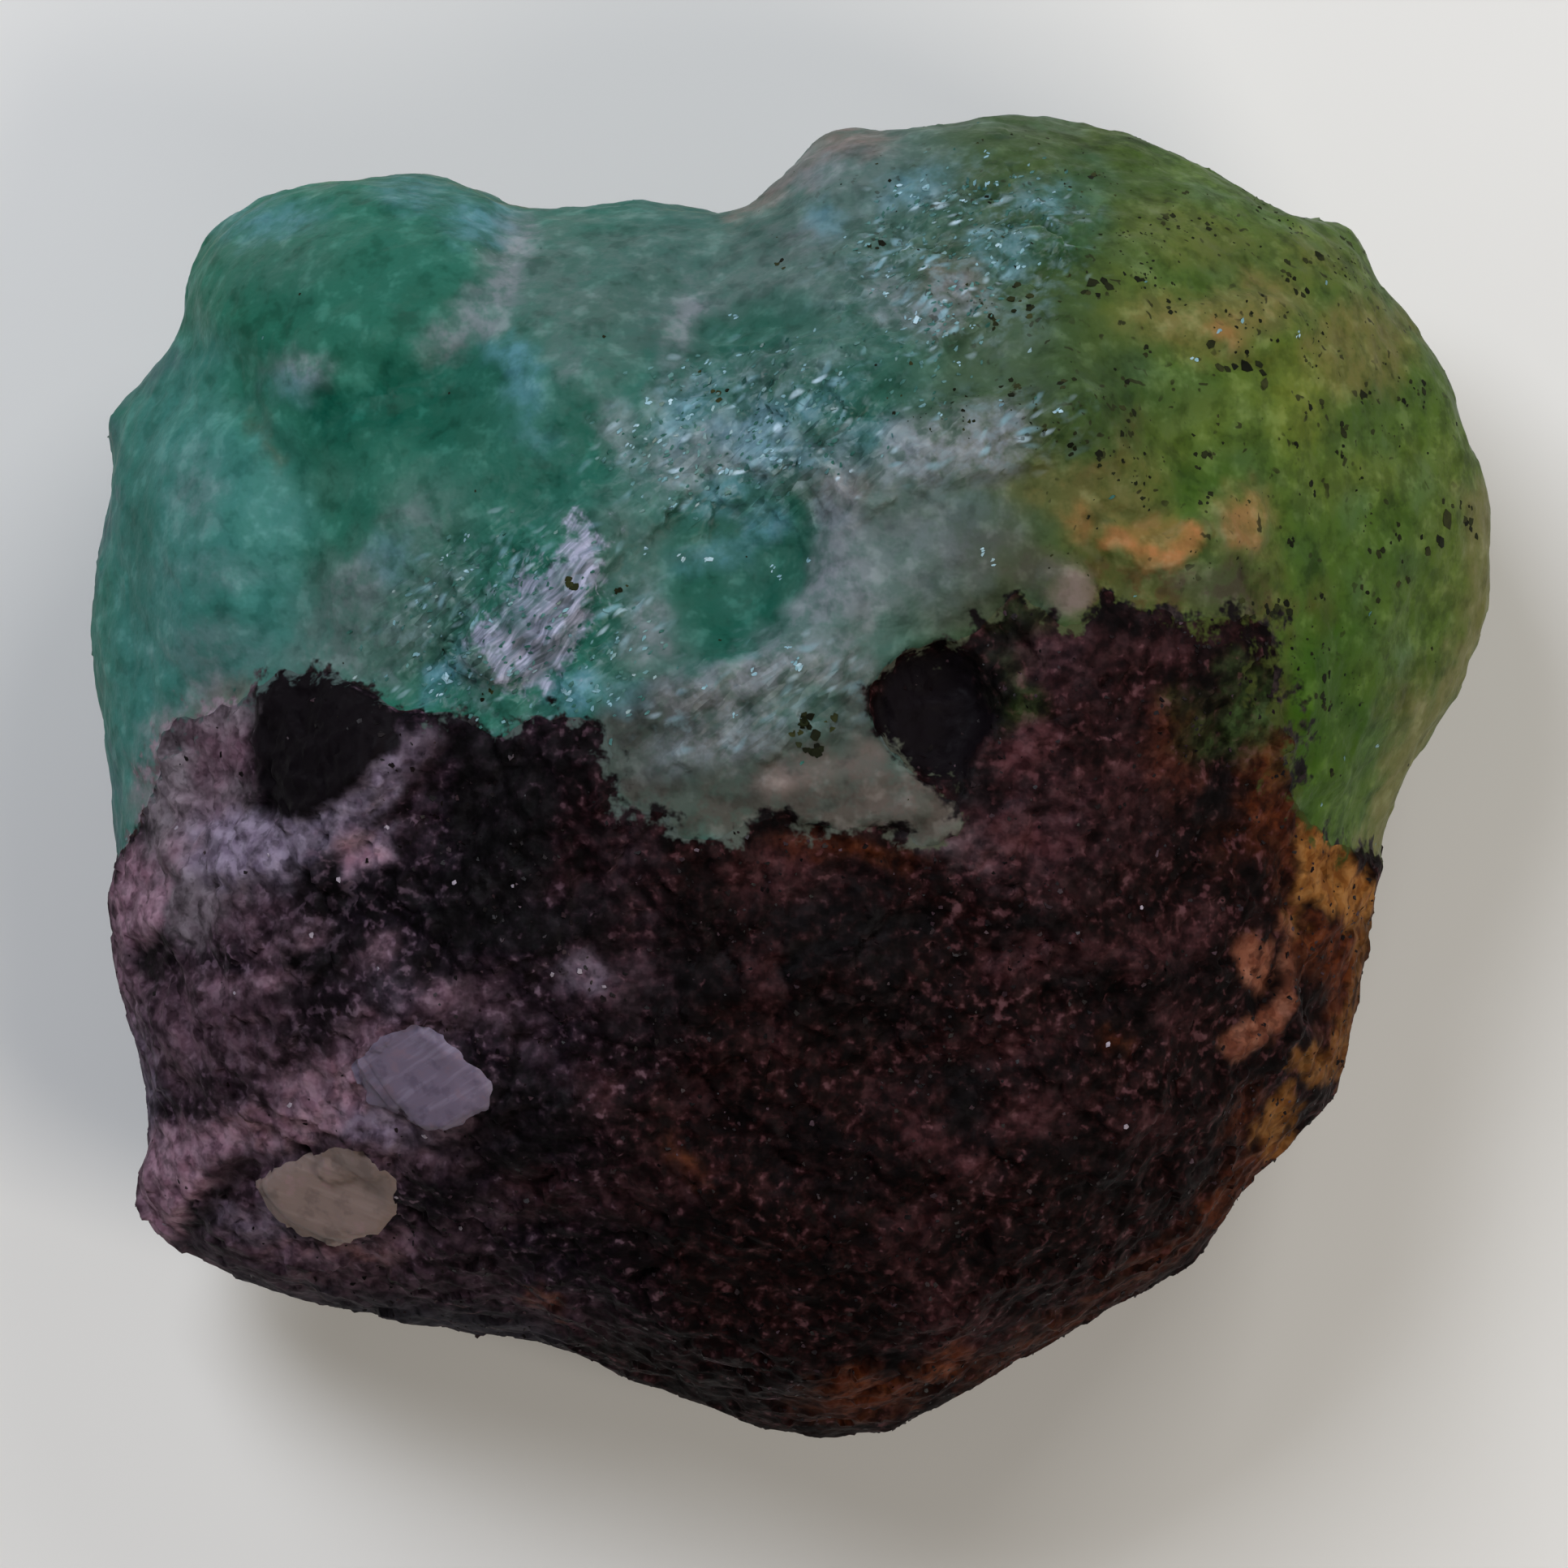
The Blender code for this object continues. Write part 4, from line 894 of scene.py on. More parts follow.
    ), (
        (0.4, 1, ((-18.3, -13.3), (-19.4, -14.4))), (0.2, 0.9, ((-20.8, -5.4), (-20.7, -4.0))),
        (0.45, 1, ((-0.2, -6.2), (1.4, -5.4), (3.0, -4.8), (4.4, -4.7))),
        (0.3, 1, ((-12.4, -11.9), (-10.6, -12.1), (-9.4, -10.8))),
        (0.2, 0.8, ((-17.7, -12.3), (-16.4, -12.2), (-14.8, -11.7))),
    )),
    # pale pink feldspar
    "pink": (0.35, (
        (-14.0, -2.3, 0.8, 0.6, -10, 1.0), (-21.3, -4.0, 0.9, 1.5, 0, 1.0),
        (-21.7, -6.6, 0.4, 1.4, 10, 0.6), (-20.3, -13.4, 1.0, 1.8, -10, 1.0),
        (-18.7, 0.9, 1.0, 1.2, 0, 0.35), (-19.2, -0.9, 1.0, 0.8, 0, 0.3),
        (-18.6, -6.7, 0.7, 0.5, 0, 0.6), (-17.2, -6.5, 0.4, 0.3, 0, 0.5),
        (-16.2, -6.5, 0.25, 0.2, 0, 0.5), (-17.0, -5.6, 0.45, 0.25, -20, 0.6),
        (-15.6, -5.1, 0.35, 0.18, 25, 0.7), (-15.6, -10.1, 1.3, 0.6, 0, 0.6),
        (-14.3, -10.0, 0.9, 0.9, 0, 0.85), (-20.4, -11.6, 0.5, 0.5, 0, 0.7),
        (-20.0, -2.4, 0.6, 0.5, 0, 0.5), (-10.9, -6.9, 0.8, 0.35, 20, 0.3),
        (-19.4, -16.0, 0.7, 0.3, -20, 0.5), (-13.4, -5.7, 0.6, 0.3, 10, 0.4),
        (-16.0, -13.9, 0.5, 0.3, 0, 0.3), (-13.8, -8.3, 0.8, 0.4, 30, 0.5),
        (-19.8, -8.6, 0.5, 1.2, 0, 0.25),
    ), (
        (0.55, 0.85, ((-19.6, -12.0), (-18.3, -11.6), (-17.2, -11.6), (-16.2, -11.5), (-15.2, -11.0))),
        (0.3, 0.5, ((-16.6, -15.4), (-14.6, -15.6), (-12.6, -15.2))),
    )),
    # orange-tan feldspar on the right edge
    "tan": (0.2, (
        (17.6, -3.0, 0.95, 1.3, 0, 0.9), (18.5, -3.9, 0.8, 0.9, 0, 1.0),
        (17.2, -1.9, 0.45, 0.9, 0, 0.8), (17.4, -9.4, 0.7, 0.7, 0, 0.5),
        (16.0, -11.3, 0.6, 1.1, -25, 0.65),
    ), (
        (0.3, 0.4, ((18.9, -5.0), (18.6, -7.0), (18.2, -9.0))),
        (0.3, 0.4, ((16.6, -4.9), (16.8, -3.2))),
    )),
    # salmon feldspar
    "salmon": (0.25, (
        (15.2, -6.0, 0.55, 0.85, 10, 0.95), (-14.0, -15.5, 0.9, 0.22, -10, 0.3),
    ), (
        (0.2, 0.5, ((-8.4, -16.8), (-7.4, -17.3))),
        (0.24, 0.6, ((16.3, -4.6), (16.5, -5.6), (16.4, -6.9))),
        (0.36, 0.85, ((16.3, -7.2), (15.9, -7.9), (15.2, -8.4), (14.7, -8.7))),
    )),
}
BLACK_BLOCK = ((-17.4, 2.8), (-16.7, 3.5), (-15.2, 3.5), (-13.6, 2.9), (-12.8, 2.2),
               (-12.7, 1.2), (-13.7, 0.2), (-14.9, -0.8), (-15.8, -1.3), (-16.8, -1.2),
               (-17.3, -0.4), (-17.5, 1.4))
BLACK_PIT = ((2.8, 2.2), (3.2, 3.5), (4.2, 4.2), (5.6, 4.3), (6.2, 3.5), (6.3, 2.7), (7.1, 2.0),
             (6.3, 1.2), (5.8, 0.1), (4.8, -0.1), (4.0, 0.4), (3.0, 1.3))
print("patches:", {name: len(ovals) + len(streaks)
                   for table in (EMERALD_PATCHES, ROCK_PATCHES)
                   for name, (soft, ovals, streaks) in table.items()})

# %% Store the patches on the pieces
WILD_SIZE = 4.0 * MM  # lumps of the patches laid by noise past the rim
WILD_SHARE = {"cyan": 0.2, "haze": 0.2, "milk": 0.4, "yellow": 0.35, "ochre": 0.5, "deep": 0.35,
              "mauve": 0.2, "biotite": 0.15, "pink": 0.5, "lilac": 0.5, "rose": 0.3, "rust": 0.5}
WILD_RARE = 0.6  # for every other kind
WILD_STRENGTH = 0.8
OUTSIDE = -3  # stored mm where an outline doesn't reach
PATCH_PLACE = {
    name: (f"patches_{i // 3}", i % 3)
    for table in (EMERALD_PATCHES, ROCK_PATCHES)
    for i, name in enumerate(table)
}  # three kinds share one vector attribute, which a render reads faster than three numbers


def store_patches(mesh, patches):
    """Stores how much of each kind covers each point, from 0 to 1, three kinds at a time."""
    points, out = vertex_table(mesh), vertex_table(mesh, "normal")
    plan = seen_plan(points)
    on_top = ramp(out[:, 2], -0.4, -0.1) * ramp(oval(plan, 0, 0, 19, 17), 0, 2)
    shown = np.maximum(ramp(out[:, 2], -0.10, 0.25), on_top)
    ragged = np.column_stack([
        0.42 * lumps(points, 1.1 * MM, 2, seed) + 0.20 * lumps(points, 0.4 * MM, 1, seed)
        for seed in (61, 62)
    ])
    covers = np.zeros((len(plan), -(-len(patches) // 3), 3), np.float32)
    for seed, (name, (soft, ovals, streaks)) in enumerate(patches.items()):
        bare = np.ones(len(plan))
        for *form, strength in ovals:
            bare *= 1 - strength * ramp(oval(plan + ragged, *form), -soft, soft)
        for width, strength, line in streaks:
            bare *= 1 - strength * ramp(streak(plan + ragged, line, width), -soft, soft)
        rare = WILD_SHARE.get(name, WILD_RARE)
        wild = WILD_STRENGTH * ramp(lumps(points, WILD_SIZE, 3, 20 + seed), rare, rare + 0.3)
        covers[:, seed // 3, seed % 3] = (1 - bare) * shown + wild * (1 - shown)
    for i in range(covers.shape[1]):
        layer = mesh.attributes.new(f"patches_{i}", "FLOAT_VECTOR", "POINT")
        layer.data.foreach_set("vector", covers[:, i].ravel())
    return points, plan, shown


def store_outline(mesh, name, depth, shown):
    """Stores mm inside an outline, and OUTSIDE where nothing is placed."""
    store(mesh, name, np.clip(depth * shown + OUTSIDE * (1 - shown), OUTSIDE, -OUTSIDE))


def store_warmth(mesh, points, plan):
    """Stores how far the colour turns from blue-green to yellow-green, from left to right: partly the
    stone's own colour, partly a painted tint of the cool light on the left and the warm light on the
    right.
    """
    across = plan[:, 0] + 1.2 * lumps(points, 5 * MM, 2, 40)
    store(mesh, "warmth", np.interp(across, *zip(*GREEN_WARMTH)))


emerald_mesh, schist_mesh = pieces[GREEN].data, pieces[ROCK].data
points, plan, shown = store_patches(emerald_mesh, EMERALD_PATCHES)
store_outline(emerald_mesh, "fibre", outline(plan, TUFT), shown)
store_warmth(emerald_mesh, points, plan)
sugar = np.maximum.reduce([
    ramp(oval(plan, -1.0, 11.2, 6.2, 3.6, 12), -0.6, 2.0),
    ramp(oval(plan, 5.5, 17.0, 5.0, 3.6, 20), -0.6, 2.0),
    ramp(oval(plan, -9.0, 5.2, 5.5, 4.0, 20), -0.6, 2.5),
    0.7 * ramp(oval(plan, -1.0, 2.6, 4.5, 2.0, 14), -0.6, 1.2),
    0.9 * ramp(oval(plan, 6.0, 11.2, 4.0, 1.6, 10), -0.6, 1.2),
])
unseen = 0.6 * ramp(lumps(points, WILD_SIZE, 2, 42), -0.1, 0.5)
store(emerald_mesh, "sugar", sugar * shown + unseen * (1 - shown))
store(emerald_mesh, "ashen", ramp(plan[:, 0], -16.8, -18.4) * shown)
peppered = np.maximum.reduce([
    ramp(oval(plan, 14.5, 13.0, 9.0, 8.0, 0), -1.0, 3.0),
    0.7 * ramp(oval(plan, 17.5, 4.5, 3.5, 4.5, 0), -1.0, 2.0),
    0.8 * ramp(oval(plan, 6.0, 17.5, 6.0, 4.0, 0), -1.0, 2.0),
])
store(emerald_mesh, "pepper", peppered * shown + 0.5 * (1 - shown))

points, plan, shown = store_patches(schist_mesh, ROCK_PATCHES)
# The black block and the pit, a hollow of the rock's forms, are painted near-black
in_black_block_and_pit = np.maximum(outline(plan, BLACK_BLOCK), outline(plan, BLACK_PIT))
store_outline(schist_mesh, "black_block_and_pit", in_black_block_and_pit, shown)
# The rock's left side turns violet: partly its own tone, partly a painted tint of the cool light on that
# side
left_side = ramp(plan[:, 0] + 2.5 * lumps(points, 5 * MM, 2, 41), -3.0, -9.0)
store(schist_mesh, "violet", left_side)
store_warmth(schist_mesh, points, plan)
speckled = np.maximum.reduce([
    ramp(oval(plan, -16.5, -9.0, 7.0, 8.0, 0), -1.5, 2.5),
    0.55 * ramp(oval(plan, 9.0, -4.0, 9.0, 9.0, 0), -2.0, 3.0),
    0.3 * np.ones(len(plan)),
])
store(schist_mesh, "speckle", speckled)
# A band along the lower-left edge, where the rock bevels away, for a painted grey-blue sheen of the cool
# light
bevel = streak(plan, ((-20.4, -15.2), (-19.0, -15.9), (-16.0, -16.9), (-12.0, -17.7),
                      (-8.0, -18.4)), 0.6)
store(schist_mesh, "bevel", ramp(bevel, -0.4, 0.4) * shown)
print("stored on", schist_mesh.name, len(schist_mesh.attributes), "attributes")

# %% [markdown]
# ## Loose mica and beryl slivers
#
# Mica splits into plates, so a broken schist is covered with tiny flat flakes that lie near
# the layers, and black mica books sit on the emerald like pepper. The sugary beryl carries
# thin cleaved slivers that lie along its grooves and catch the light one by one. Each is a
# closed plate half sunk in the stone. They are written straight into one mesh, because
# thousands of objects would be slow.

# %% Lay plates on a mineral
draw = np.random.default_rng(20)
LARGEST_FACE = 1.2 * MM * MM  # the walls inside the stone have larger faces
LOWEST_PLATE = 0.5 * MM
PROUD = 0.4  # share of a plate's depth that stands out of the stone


def faces_of(mesh):
    """Middles, normals and areas of a mesh's faces."""
    count = len(mesh.polygons)
    middles = np.empty(count * 3, np.float32)
    normals = np.empty(count * 3, np.float32)
    areas = np.empty(count, np.float32)
    mesh.polygons.foreach_get("center", middles)
    mesh.polygons.foreach_get("normal", normals)
    mesh.polygons.foreach_get("area", areas)
    return middles.reshape(-1, 3).astype(float), normals.reshape(-1, 3).astype(float), areas


def plates_on(mesh, count, wanted, sizes, thickness, lean, grain):
    """Middles, normals, sizes and depths for plates spread over faces where wanted is high."""
    middles, normals, areas = faces_of(mesh)
    usable = (areas < LARGEST_FACE) & (middles[:, 2] > LOWEST_PLATE)
    weight = areas * wanted(middles, normals) * usable
    picked = draw.choice(len(areas), count, p=weight / weight.sum())
    tilt = normals[picked] + lean * draw.normal(size=(count, 3)) + grain
    tilt /= np.linalg.norm(tilt, axis=1)[:, None]
    size = np.exp(draw.uniform(*np.log(sizes), count)) * MM
    return middles[picked], tilt, size, size * thickness


def plate_mesh(name, middles, normals, sizes, depths, sides=5, stretch=1.0, tones=None):
    """One mesh of closed many-sided plates with uneven corners, long along the grooves."""
    count = len(middles)
    if stretch > 1:
        turn = GROOVE_TURN + draw.normal(0, 0.45, count)
        helper = np.column_stack((-np.sin(turn), np.cos(turn), np.zeros(count)))
    else:
        helper = draw.normal(size=(count, 3))
    along = np.cross(helper, normals)
    along /= np.linalg.norm(along, axis=1)[:, None]
    across = np.cross(normals, along)
    turns = np.arange(sides) / sides * math.tau + draw.uniform(-0.4, 0.4, (count, sides))
    reach = sizes[:, None] * draw.uniform(0.34, 0.60, (count, sides))
    rim = (along[:, None] * (np.cos(turns) * reach * stretch)[..., None]
           + across[:, None] * (np.sin(turns) * reach)[..., None])
    lift = normals[:, None] * depths[:, None, None]
    rims = middles[:, None] + rim
    rows = np.concatenate((rims + PROUD * lift, rims - lift), 1)
    top = list(range(sides))
    faces = [top, [sides + i for i in reversed(top)]]
    faces += [[i, sides + i, sides + (i + 1) % sides, (i + 1) % sides] for i in top]
    every = [[n * 2 * sides + i for i in face] for n in range(count) for face in faces]
    mesh = bpy.data.meshes.new(name)
    mesh.from_pydata(rows.reshape(-1, 3).tolist(), [], every)
    if tones is None:
        tones = draw.uniform(0, 1, count)
    store(mesh, "tone", np.repeat(tones, 2 * sides))
    bm = bmesh.new()
    bm.from_mesh(mesh)
    bmesh.ops.recalc_face_normals(bm, faces=bm.faces)
    bm.to_mesh(mesh)
    bm.free()
    return mesh


def outer(normals):
    """1 on every face but those of the underside."""
    return ramp(normals[:, 2], -0.6, 0.0)


def sugary_places(middles, normals):
    """How thickly slivers lie at each face of the beryl."""
    plan = seen_plan(middles)
    zone = np.maximum.reduce([
        ramp(oval(plan, -1.5, 11.6, 5.6, 2.8, 14), -0.5, 2.0),
        0.8 * ramp(oval(plan, 5.6, 18.0, 4.0, 2.6, 15), -0.5, 2.0),
        0.6 * ramp(oval(plan, -9.5, 5.0, 4.6, 3.6, 20), -0.5, 2.0),
        0.8 * ramp(oval(plan, 5.0, 14.6, 3.0, 1.8, 60), -0.5, 1.0),
        0.7 * ramp(oval(plan, -5.6, 3.4, 2.4, 1.8, 30), -0.5, 1.0),
    ])
    return zone * outer(normals) + 0.002


def rocky_places(middles, normals):
    """How thickly flakes lie at each face of the schist: few on its pale left side."""
    pale = ramp(oval(seen_plan(middles), -17.5, -6.5, 6.5, 12.0, 0), -1.0, 2.0)
    clumped = 0.3 + 0.7 * ramp(lumps(middles, 2.5 * MM, 2, 51), -0.2, 0.5)
    return outer(normals) * clumped * (1 - 0.92 * pale)


SHRINK = 1.0
FLAKES, SLIVERS = int(4200 * SHRINK), int(1400 * SHRINK)
flakes = plates_on(schist_mesh, FLAKES, rocky_places, (0.07, 0.24), 0.10, 0.22,
                   0.30 * layer_normal)
slivers = plates_on(emerald_mesh, SLIVERS, sugary_places, (0.07, 0.14), 0.35, 0.14,
                    np.array((0.0, 0.0, 0.10)))
print(FLAKES, "mica flakes,", SLIVERS, "beryl slivers")

# %% Place the mica books and the brightest slivers one by one
PEPPER = (
    (21.5, 8.0, 0.8), (21.2, 7.8, 0.5), (21.7, 9.0, 0.4), (22.2, 8.4, 0.5), (22.3, 8.9, 0.3),
    (10.2, 16.1, 0.6), (9.8, 16.0, 0.3), (11.7, 16.2, 0.35), (12.5, 15.3, 0.35), (8.0, 15.6, 0.6),
    (7.6, 16.1, 0.4), (7.7, 15.3, 0.4), (6.8, 14.9, 0.3), (12.5, 18.4, 0.35), (13.0, 19.2, 0.3),
    (13.9, 18.1, 0.3), (17.2, 17.1, 0.45), (18.2, 17.6, 0.4), (16.3, 16.9, 0.3), (16.8, 16.1, 0.4),
    (16.5, 16.4, 0.3), (14.4, 13.8, 0.5), (15.4, 13.6, 0.6), (14.8, 13.9, 0.35), (19.1, 12.8, 0.5),
    (20.7, 12.9, 0.35), (20.2, 12.5, 0.3), (17.3, 12.2, 0.35), (18.2, 11.4, 0.6), (18.1, 10.7, 0.3),
    (16.7, 11.0, 0.25), (13.5, 10.5, 0.4), (13.9, 10.6, 0.25), (13.7, 9.2, 0.35), (11.1, 13.1, 0.35),
    (11.8, 14.1, 0.25), (10.9, 15.0, 0.25), (9.1, 13.1, 0.35), (7.2, 12.8, 0.4), (11.2, 12.0, 0.35),
    (11.1, 11.4, 0.4), (10.4, 10.5, 0.35), (17.1, 9.5, 0.3), (16.4, 7.8, 0.3), (19.4, 7.4, 0.4),
    (20.0, 8.1, 0.4), (20.2, 6.7, 0.45), (19.1, 6.1, 0.4), (16.2, 5.9, 0.4), (15.8, 5.6, 0.35),
    (17.5, 6.1, 0.35), (17.4, 3.4, 0.5), (17.6, 2.7, 0.4), (17.7, 2.2, 0.35), (15.1, 5.6, 0.4),
    (17.9, 0.2, 0.3), (-7.1, 6.35, 0.4), (-2.2, 12.6, 0.35), (2.9, 17.5, 0.35), (-0.3, 16.9, 0.3),
    (0.5, 1.8, 0.55), (0.3, 1.6, 0.4), (1.2, 1.8, 0.4), (0.7, 1.0, 0.6), (1.0, 1.0, 0.5),
    (-9.8, 2.7, 0.25), (-5.5, 6.2, 0.25), (6.6, 19.0, 0.3), (10.1, 19.7, 0.4), (9.3, 10.9, 0.3),
)  # x, y and size in mm, as seen from above
GLINTS = (
    (4.3, 15.1, 0.32), (4.0, 15.15, 0.2), (0.4, 3.7, 0.3), (0.25, 3.9, 0.2), (-1.1, 3.6, 0.22),
    (0.0, 4.3, 0.16), (-0.6, 10.8, 0.4), (-0.1, 10.35, 0.25), (0.5, 10.4, 0.22), (-1.1, 11.5, 0.25),
    (-0.7, 11.8, 0.2), (-3.7, 8.9, 0.3), (-2.1, 10.05, 0.25), (-0.2, 6.6, 0.16), (-0.5, 6.9, 0.13),
    (0.7, 7.1, 0.16), (-2.6, 7.2, 0.25), (-3.5, 7.2, 0.2), (-3.2, 12.0, 0.25), (-3.7, 12.3, 0.22),
    (-4.6, 12.4, 0.25), (-5.0, 11.5, 0.16), (-5.2, 10.9, 0.15), (-2.7, 13.7, 0.2), (-2.1, 13.4, 0.18),
    (-1.8, 15.1, 0.22), (3.6, 19.3, 0.25), (4.3, 19.4, 0.32), (4.1, 19.0, 0.2), (5.8, 19.0, 0.2),
    (6.6, 19.5, 0.25), (6.5, 20.5, 0.2), (8.3, 19.0, 0.26), (8.7, 19.1, 0.2), (7.0, 17.5, 0.2),
    (6.7, 17.0, 0.22), (7.7, 17.0, 0.22), (6.6, 17.8, 0.18), (7.5, 17.9, 0.15), (5.2, 14.6, 0.2),
    (5.1, 15.6, 0.2), (3.2, 15.8, 0.22), (3.3, 16.5, 0.18), (6.0, 14.8, 0.16), (5.6, 13.6, 0.16),
    (8.9, 12.1, 0.22), (7.0, 12.3, 0.2), (5.0, 11.9, 0.16), (6.7, 7.1, 0.2), (6.4, 7.4, 0.18),
    (-11.2, 3.2, 0.32), (-11.5, 2.8, 0.22), (-8.9, 3.6, 0.26), (-8.4, 3.6, 0.2), (-7.1, 2.6, 0.26),
    (-7.4, 2.8, 0.2), (-5.8, 2.5, 0.16), (-10.5, 8.0, 0.18), (-11.2, 7.2, 0.14), (-10.4, 6.8, 0.16),
    (-12.1, 5.85, 0.13), (-10.7, 5.4, 0.14), (-2.7, 3.0, 0.16), (-1.7, 2.1, 0.14), (14.2, 14.7, 0.2),
    (16.7, 14.6, 0.16), (13.3, 13.75, 0.2), (19.3, 1.2, 0.2), (-4.7, 7.5, 0.16), (-9.7, 5.2, 0.16),
)
ROCK_GLINTS = (
    (-14.7, -3.3, 0.2), (-10.9, -3.4, 0.17), (-9.0, -3.5, 0.14), (-16.3, -10.7, 0.2),
    (-7.7, -6.4, 0.18), (-6.8, -6.3, 0.2), (-20.0, -1.6, 0.18), (-13.1, -1.6, 0.17),
    (-12.8, -13.7, 0.16), (-20.4, -14.6, 0.2), (-15.6, -5.1, 0.22), (-18.1, -7.0, 0.14),
    (-6.0, -6.8, 0.15), (11.1, -11.4, 0.2), (11.6, -4.2, 0.16), (10.5, -8.7, 0.2),
    (-11.9, -11.7, 0.18), (-10.7, -14.7, 0.18), (-13.4, -6.2, 0.14), (-17.0, -2.5, 0.14),
)
PEPPER_STRAY = int(560 * SHRINK)


trees = [tree_of(piece.data) for piece in pieces.values()]


def seen_at(x, y):
    """The point of the stone that shows at this place from above, and its normal."""
    eye = Vector((0, 0, CAMERA_DISTANCE + WIDEST_LEVEL))
    aim = (Vector((x * MM, y * MM, WIDEST_LEVEL)) - eye).normalized()
    hits = [tree.ray_cast(eye, aim) for tree in trees]
    return min((hit for hit in hits if hit[0] is not None), key=lambda hit: hit[3])[:2]


def placed_plates(places_and_sizes, thickness):
    """Middles, normals, sizes and depths for plates at listed places."""
    spots = [seen_at(x, y) for x, y, _ in places_and_sizes]
    size = np.array([size for _, _, size in places_and_sizes]) * MM
    return (np.array([spot for spot, _ in spots]), np.array([out for _, out in spots]), size,
            size * thickness)


def joined(*groups):
    """Puts several groups of plates into one."""
    return [np.concatenate(parts) for parts in zip(*groups)]


def peppered_places(middles, normals):
    """How thickly stray mica books lie at each face of the beryl."""
    plan = seen_plan(middles)
    near_edge = ramp(oval(plan, 13.0, 13.5, 10.0, 8.5, 0), -1.0, 4.0)
    low_right = 0.6 * ramp(oval(plan, 18.0, 4.5, 3.5, 5.0, 0), -1.0, 2.0)
    top = 0.5 * ramp(oval(plan, 6.0, 18.0, 6.0, 3.5, 0), -1.0, 2.0)
    clumped = ramp(lumps(middles, 2.2 * MM, 2, 52), -0.1, 0.6)
    return outer(normals) * np.maximum.reduce([near_edge, low_right, top]) * clumped + 0.003


def clustered(spots, copies, smallest, largest):
    """Breaks each plate into a few smaller ones that overlap."""
    return [(x + 0.4 * size * draw.normal(), y + 0.4 * size * draw.normal(),
             size * draw.uniform(smallest, largest)) for x, y, size in spots for _ in range(copies)]


books = joined(
    placed_plates(clustered(PEPPER, 4, 0.30, 0.80), 0.10),
    plates_on(emerald_mesh, PEPPER_STRAY, peppered_places, (0.05, 0.16), 0.12, 0.2, np.zeros(3)),
)
bright = clustered(GLINTS, 3, 0.34, 0.58)
glints = joined(placed_plates(bright, 0.30), slivers)
# The slivers at the listed glints get pale tones, a painted highlight over their own shine
glint_tones = np.concatenate((
    draw.uniform(0.78, 0.97, len(bright)),
    draw.uniform(0, 0.92, SLIVERS) ** 1.8,
))
# The listed rock glints get the palest tone, a painted highlight
sparks = joined(placed_plates(ROCK_GLINTS, 0.30), flakes)
spark_tones = np.concatenate((np.full(len(ROCK_GLINTS), 1.0), draw.uniform(0, 0.97, FLAKES)))
print(len(books[0]), "mica books on the emerald")


def loose_piece(name, mesh):
    """An object that lies loose on the stone and replaces no solid."""
    piece = bpy.data.objects.new(name, mesh)
    bpy.context.scene.collection.objects.link(piece)
    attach(piece, "root")
    return piece


mica_flakes = loose_piece("mica_flakes", plate_mesh("mica_flakes", *sparks, tones=spark_tones))
mica_books = loose_piece("mica_books", plate_mesh("mica_books", *books, sides=7))
beryl_slivers = loose_piece("beryl_slivers", plate_mesh("beryl_slivers", *glints, stretch=2.0,
                                                        tones=glint_tones))

# %% [markdown]
# ## Materials
#
# All four are natural stone broken by hand, so nothing is polished: what shines is cleavage.
# Beryl has an index of refraction of about 1.58, mica 1.6 and feldspar 1.53. Light goes a
# millimetre or so into milky beryl before it comes back, which is why its lobes look like
# wax. Mica is black because iron soaks up the light, and only its flat faces send any back.

# %% Helpers for the materials
CONTACT_RAGGED = 3.3  # mm that the contact moves for each unit of noise, which is 0.3 mm or so
CONTACT_SOFT = 0.24  # mm over which thin beryl lets the dark rock through
BERYL_IOR, SCHIST_IOR, MICA_IOR, FELDSPAR_IOR = 1.58, 1.58, 1.6, 1.53
BERYL_SCATTER = 1.1 * MM  # how far light goes into milky beryl
FELDSPAR_SCATTER = 0.6 * MM


def colour(code):
    """Turns an sRGB hex code into the linear colour that shaders work with."""
    parts = [int(code[i:i + 2], 16) / 255 for i in (1, 3, 5)]
    linear = [p / 12.92 if p <= 0.04045 else ((p + 0.055) / 1.055) ** 2.4 for p in parts]
    return (*linear, 1.0)


def add(tree, kind, inputs=None, out=0, **settings):
    """Adds a node, sets it up, links or fills its inputs and returns one output."""
    node = tree.nodes.new("ShaderNode" + kind)
    for key, value in settings.items():
        setattr(node, key, value)
    for socket, value in (inputs or {}).items():
        if isinstance(value, bpy.types.NodeSocket):
            tree.links.new(value, node.inputs[socket])
        else:
            node.inputs[socket].default_value = value
    return node.outputs[out] if node.outputs else node


def new_material(name):
    """A material, its empty node tree and coordinates in mm on the stone."""
    material = bpy.data.materials.new(name)
    material.use_nodes = True
    tree = material.node_tree
    tree.nodes.clear()
    metres = add(tree, "TexCoord", out="Object")
    mm = add(tree, "VectorMath", {0: metres, "Scale": 1 / MM}, operation="SCALE")
    return material, tree, mm


def between(tree, value, start, end, low=0.0, high=1.0):
    """Runs smoothly from low to high while the value runs from start to end."""
    inputs = {0: value, 1: start, 2: end, 3: low, 4: high}
    return add(tree, "MapRange", inputs, interpolation_type="SMOOTHSTEP")


def product(tree, a, b):
    return add(tree, "Math", {0: a, 1: b}, operation="MULTIPLY")


def over(tree, below, above, share):
    """Lays one colour over another."""
    return add(tree, "Mix", {0: share, 6: below, 7: above}, out=2, data_type="RGBA")


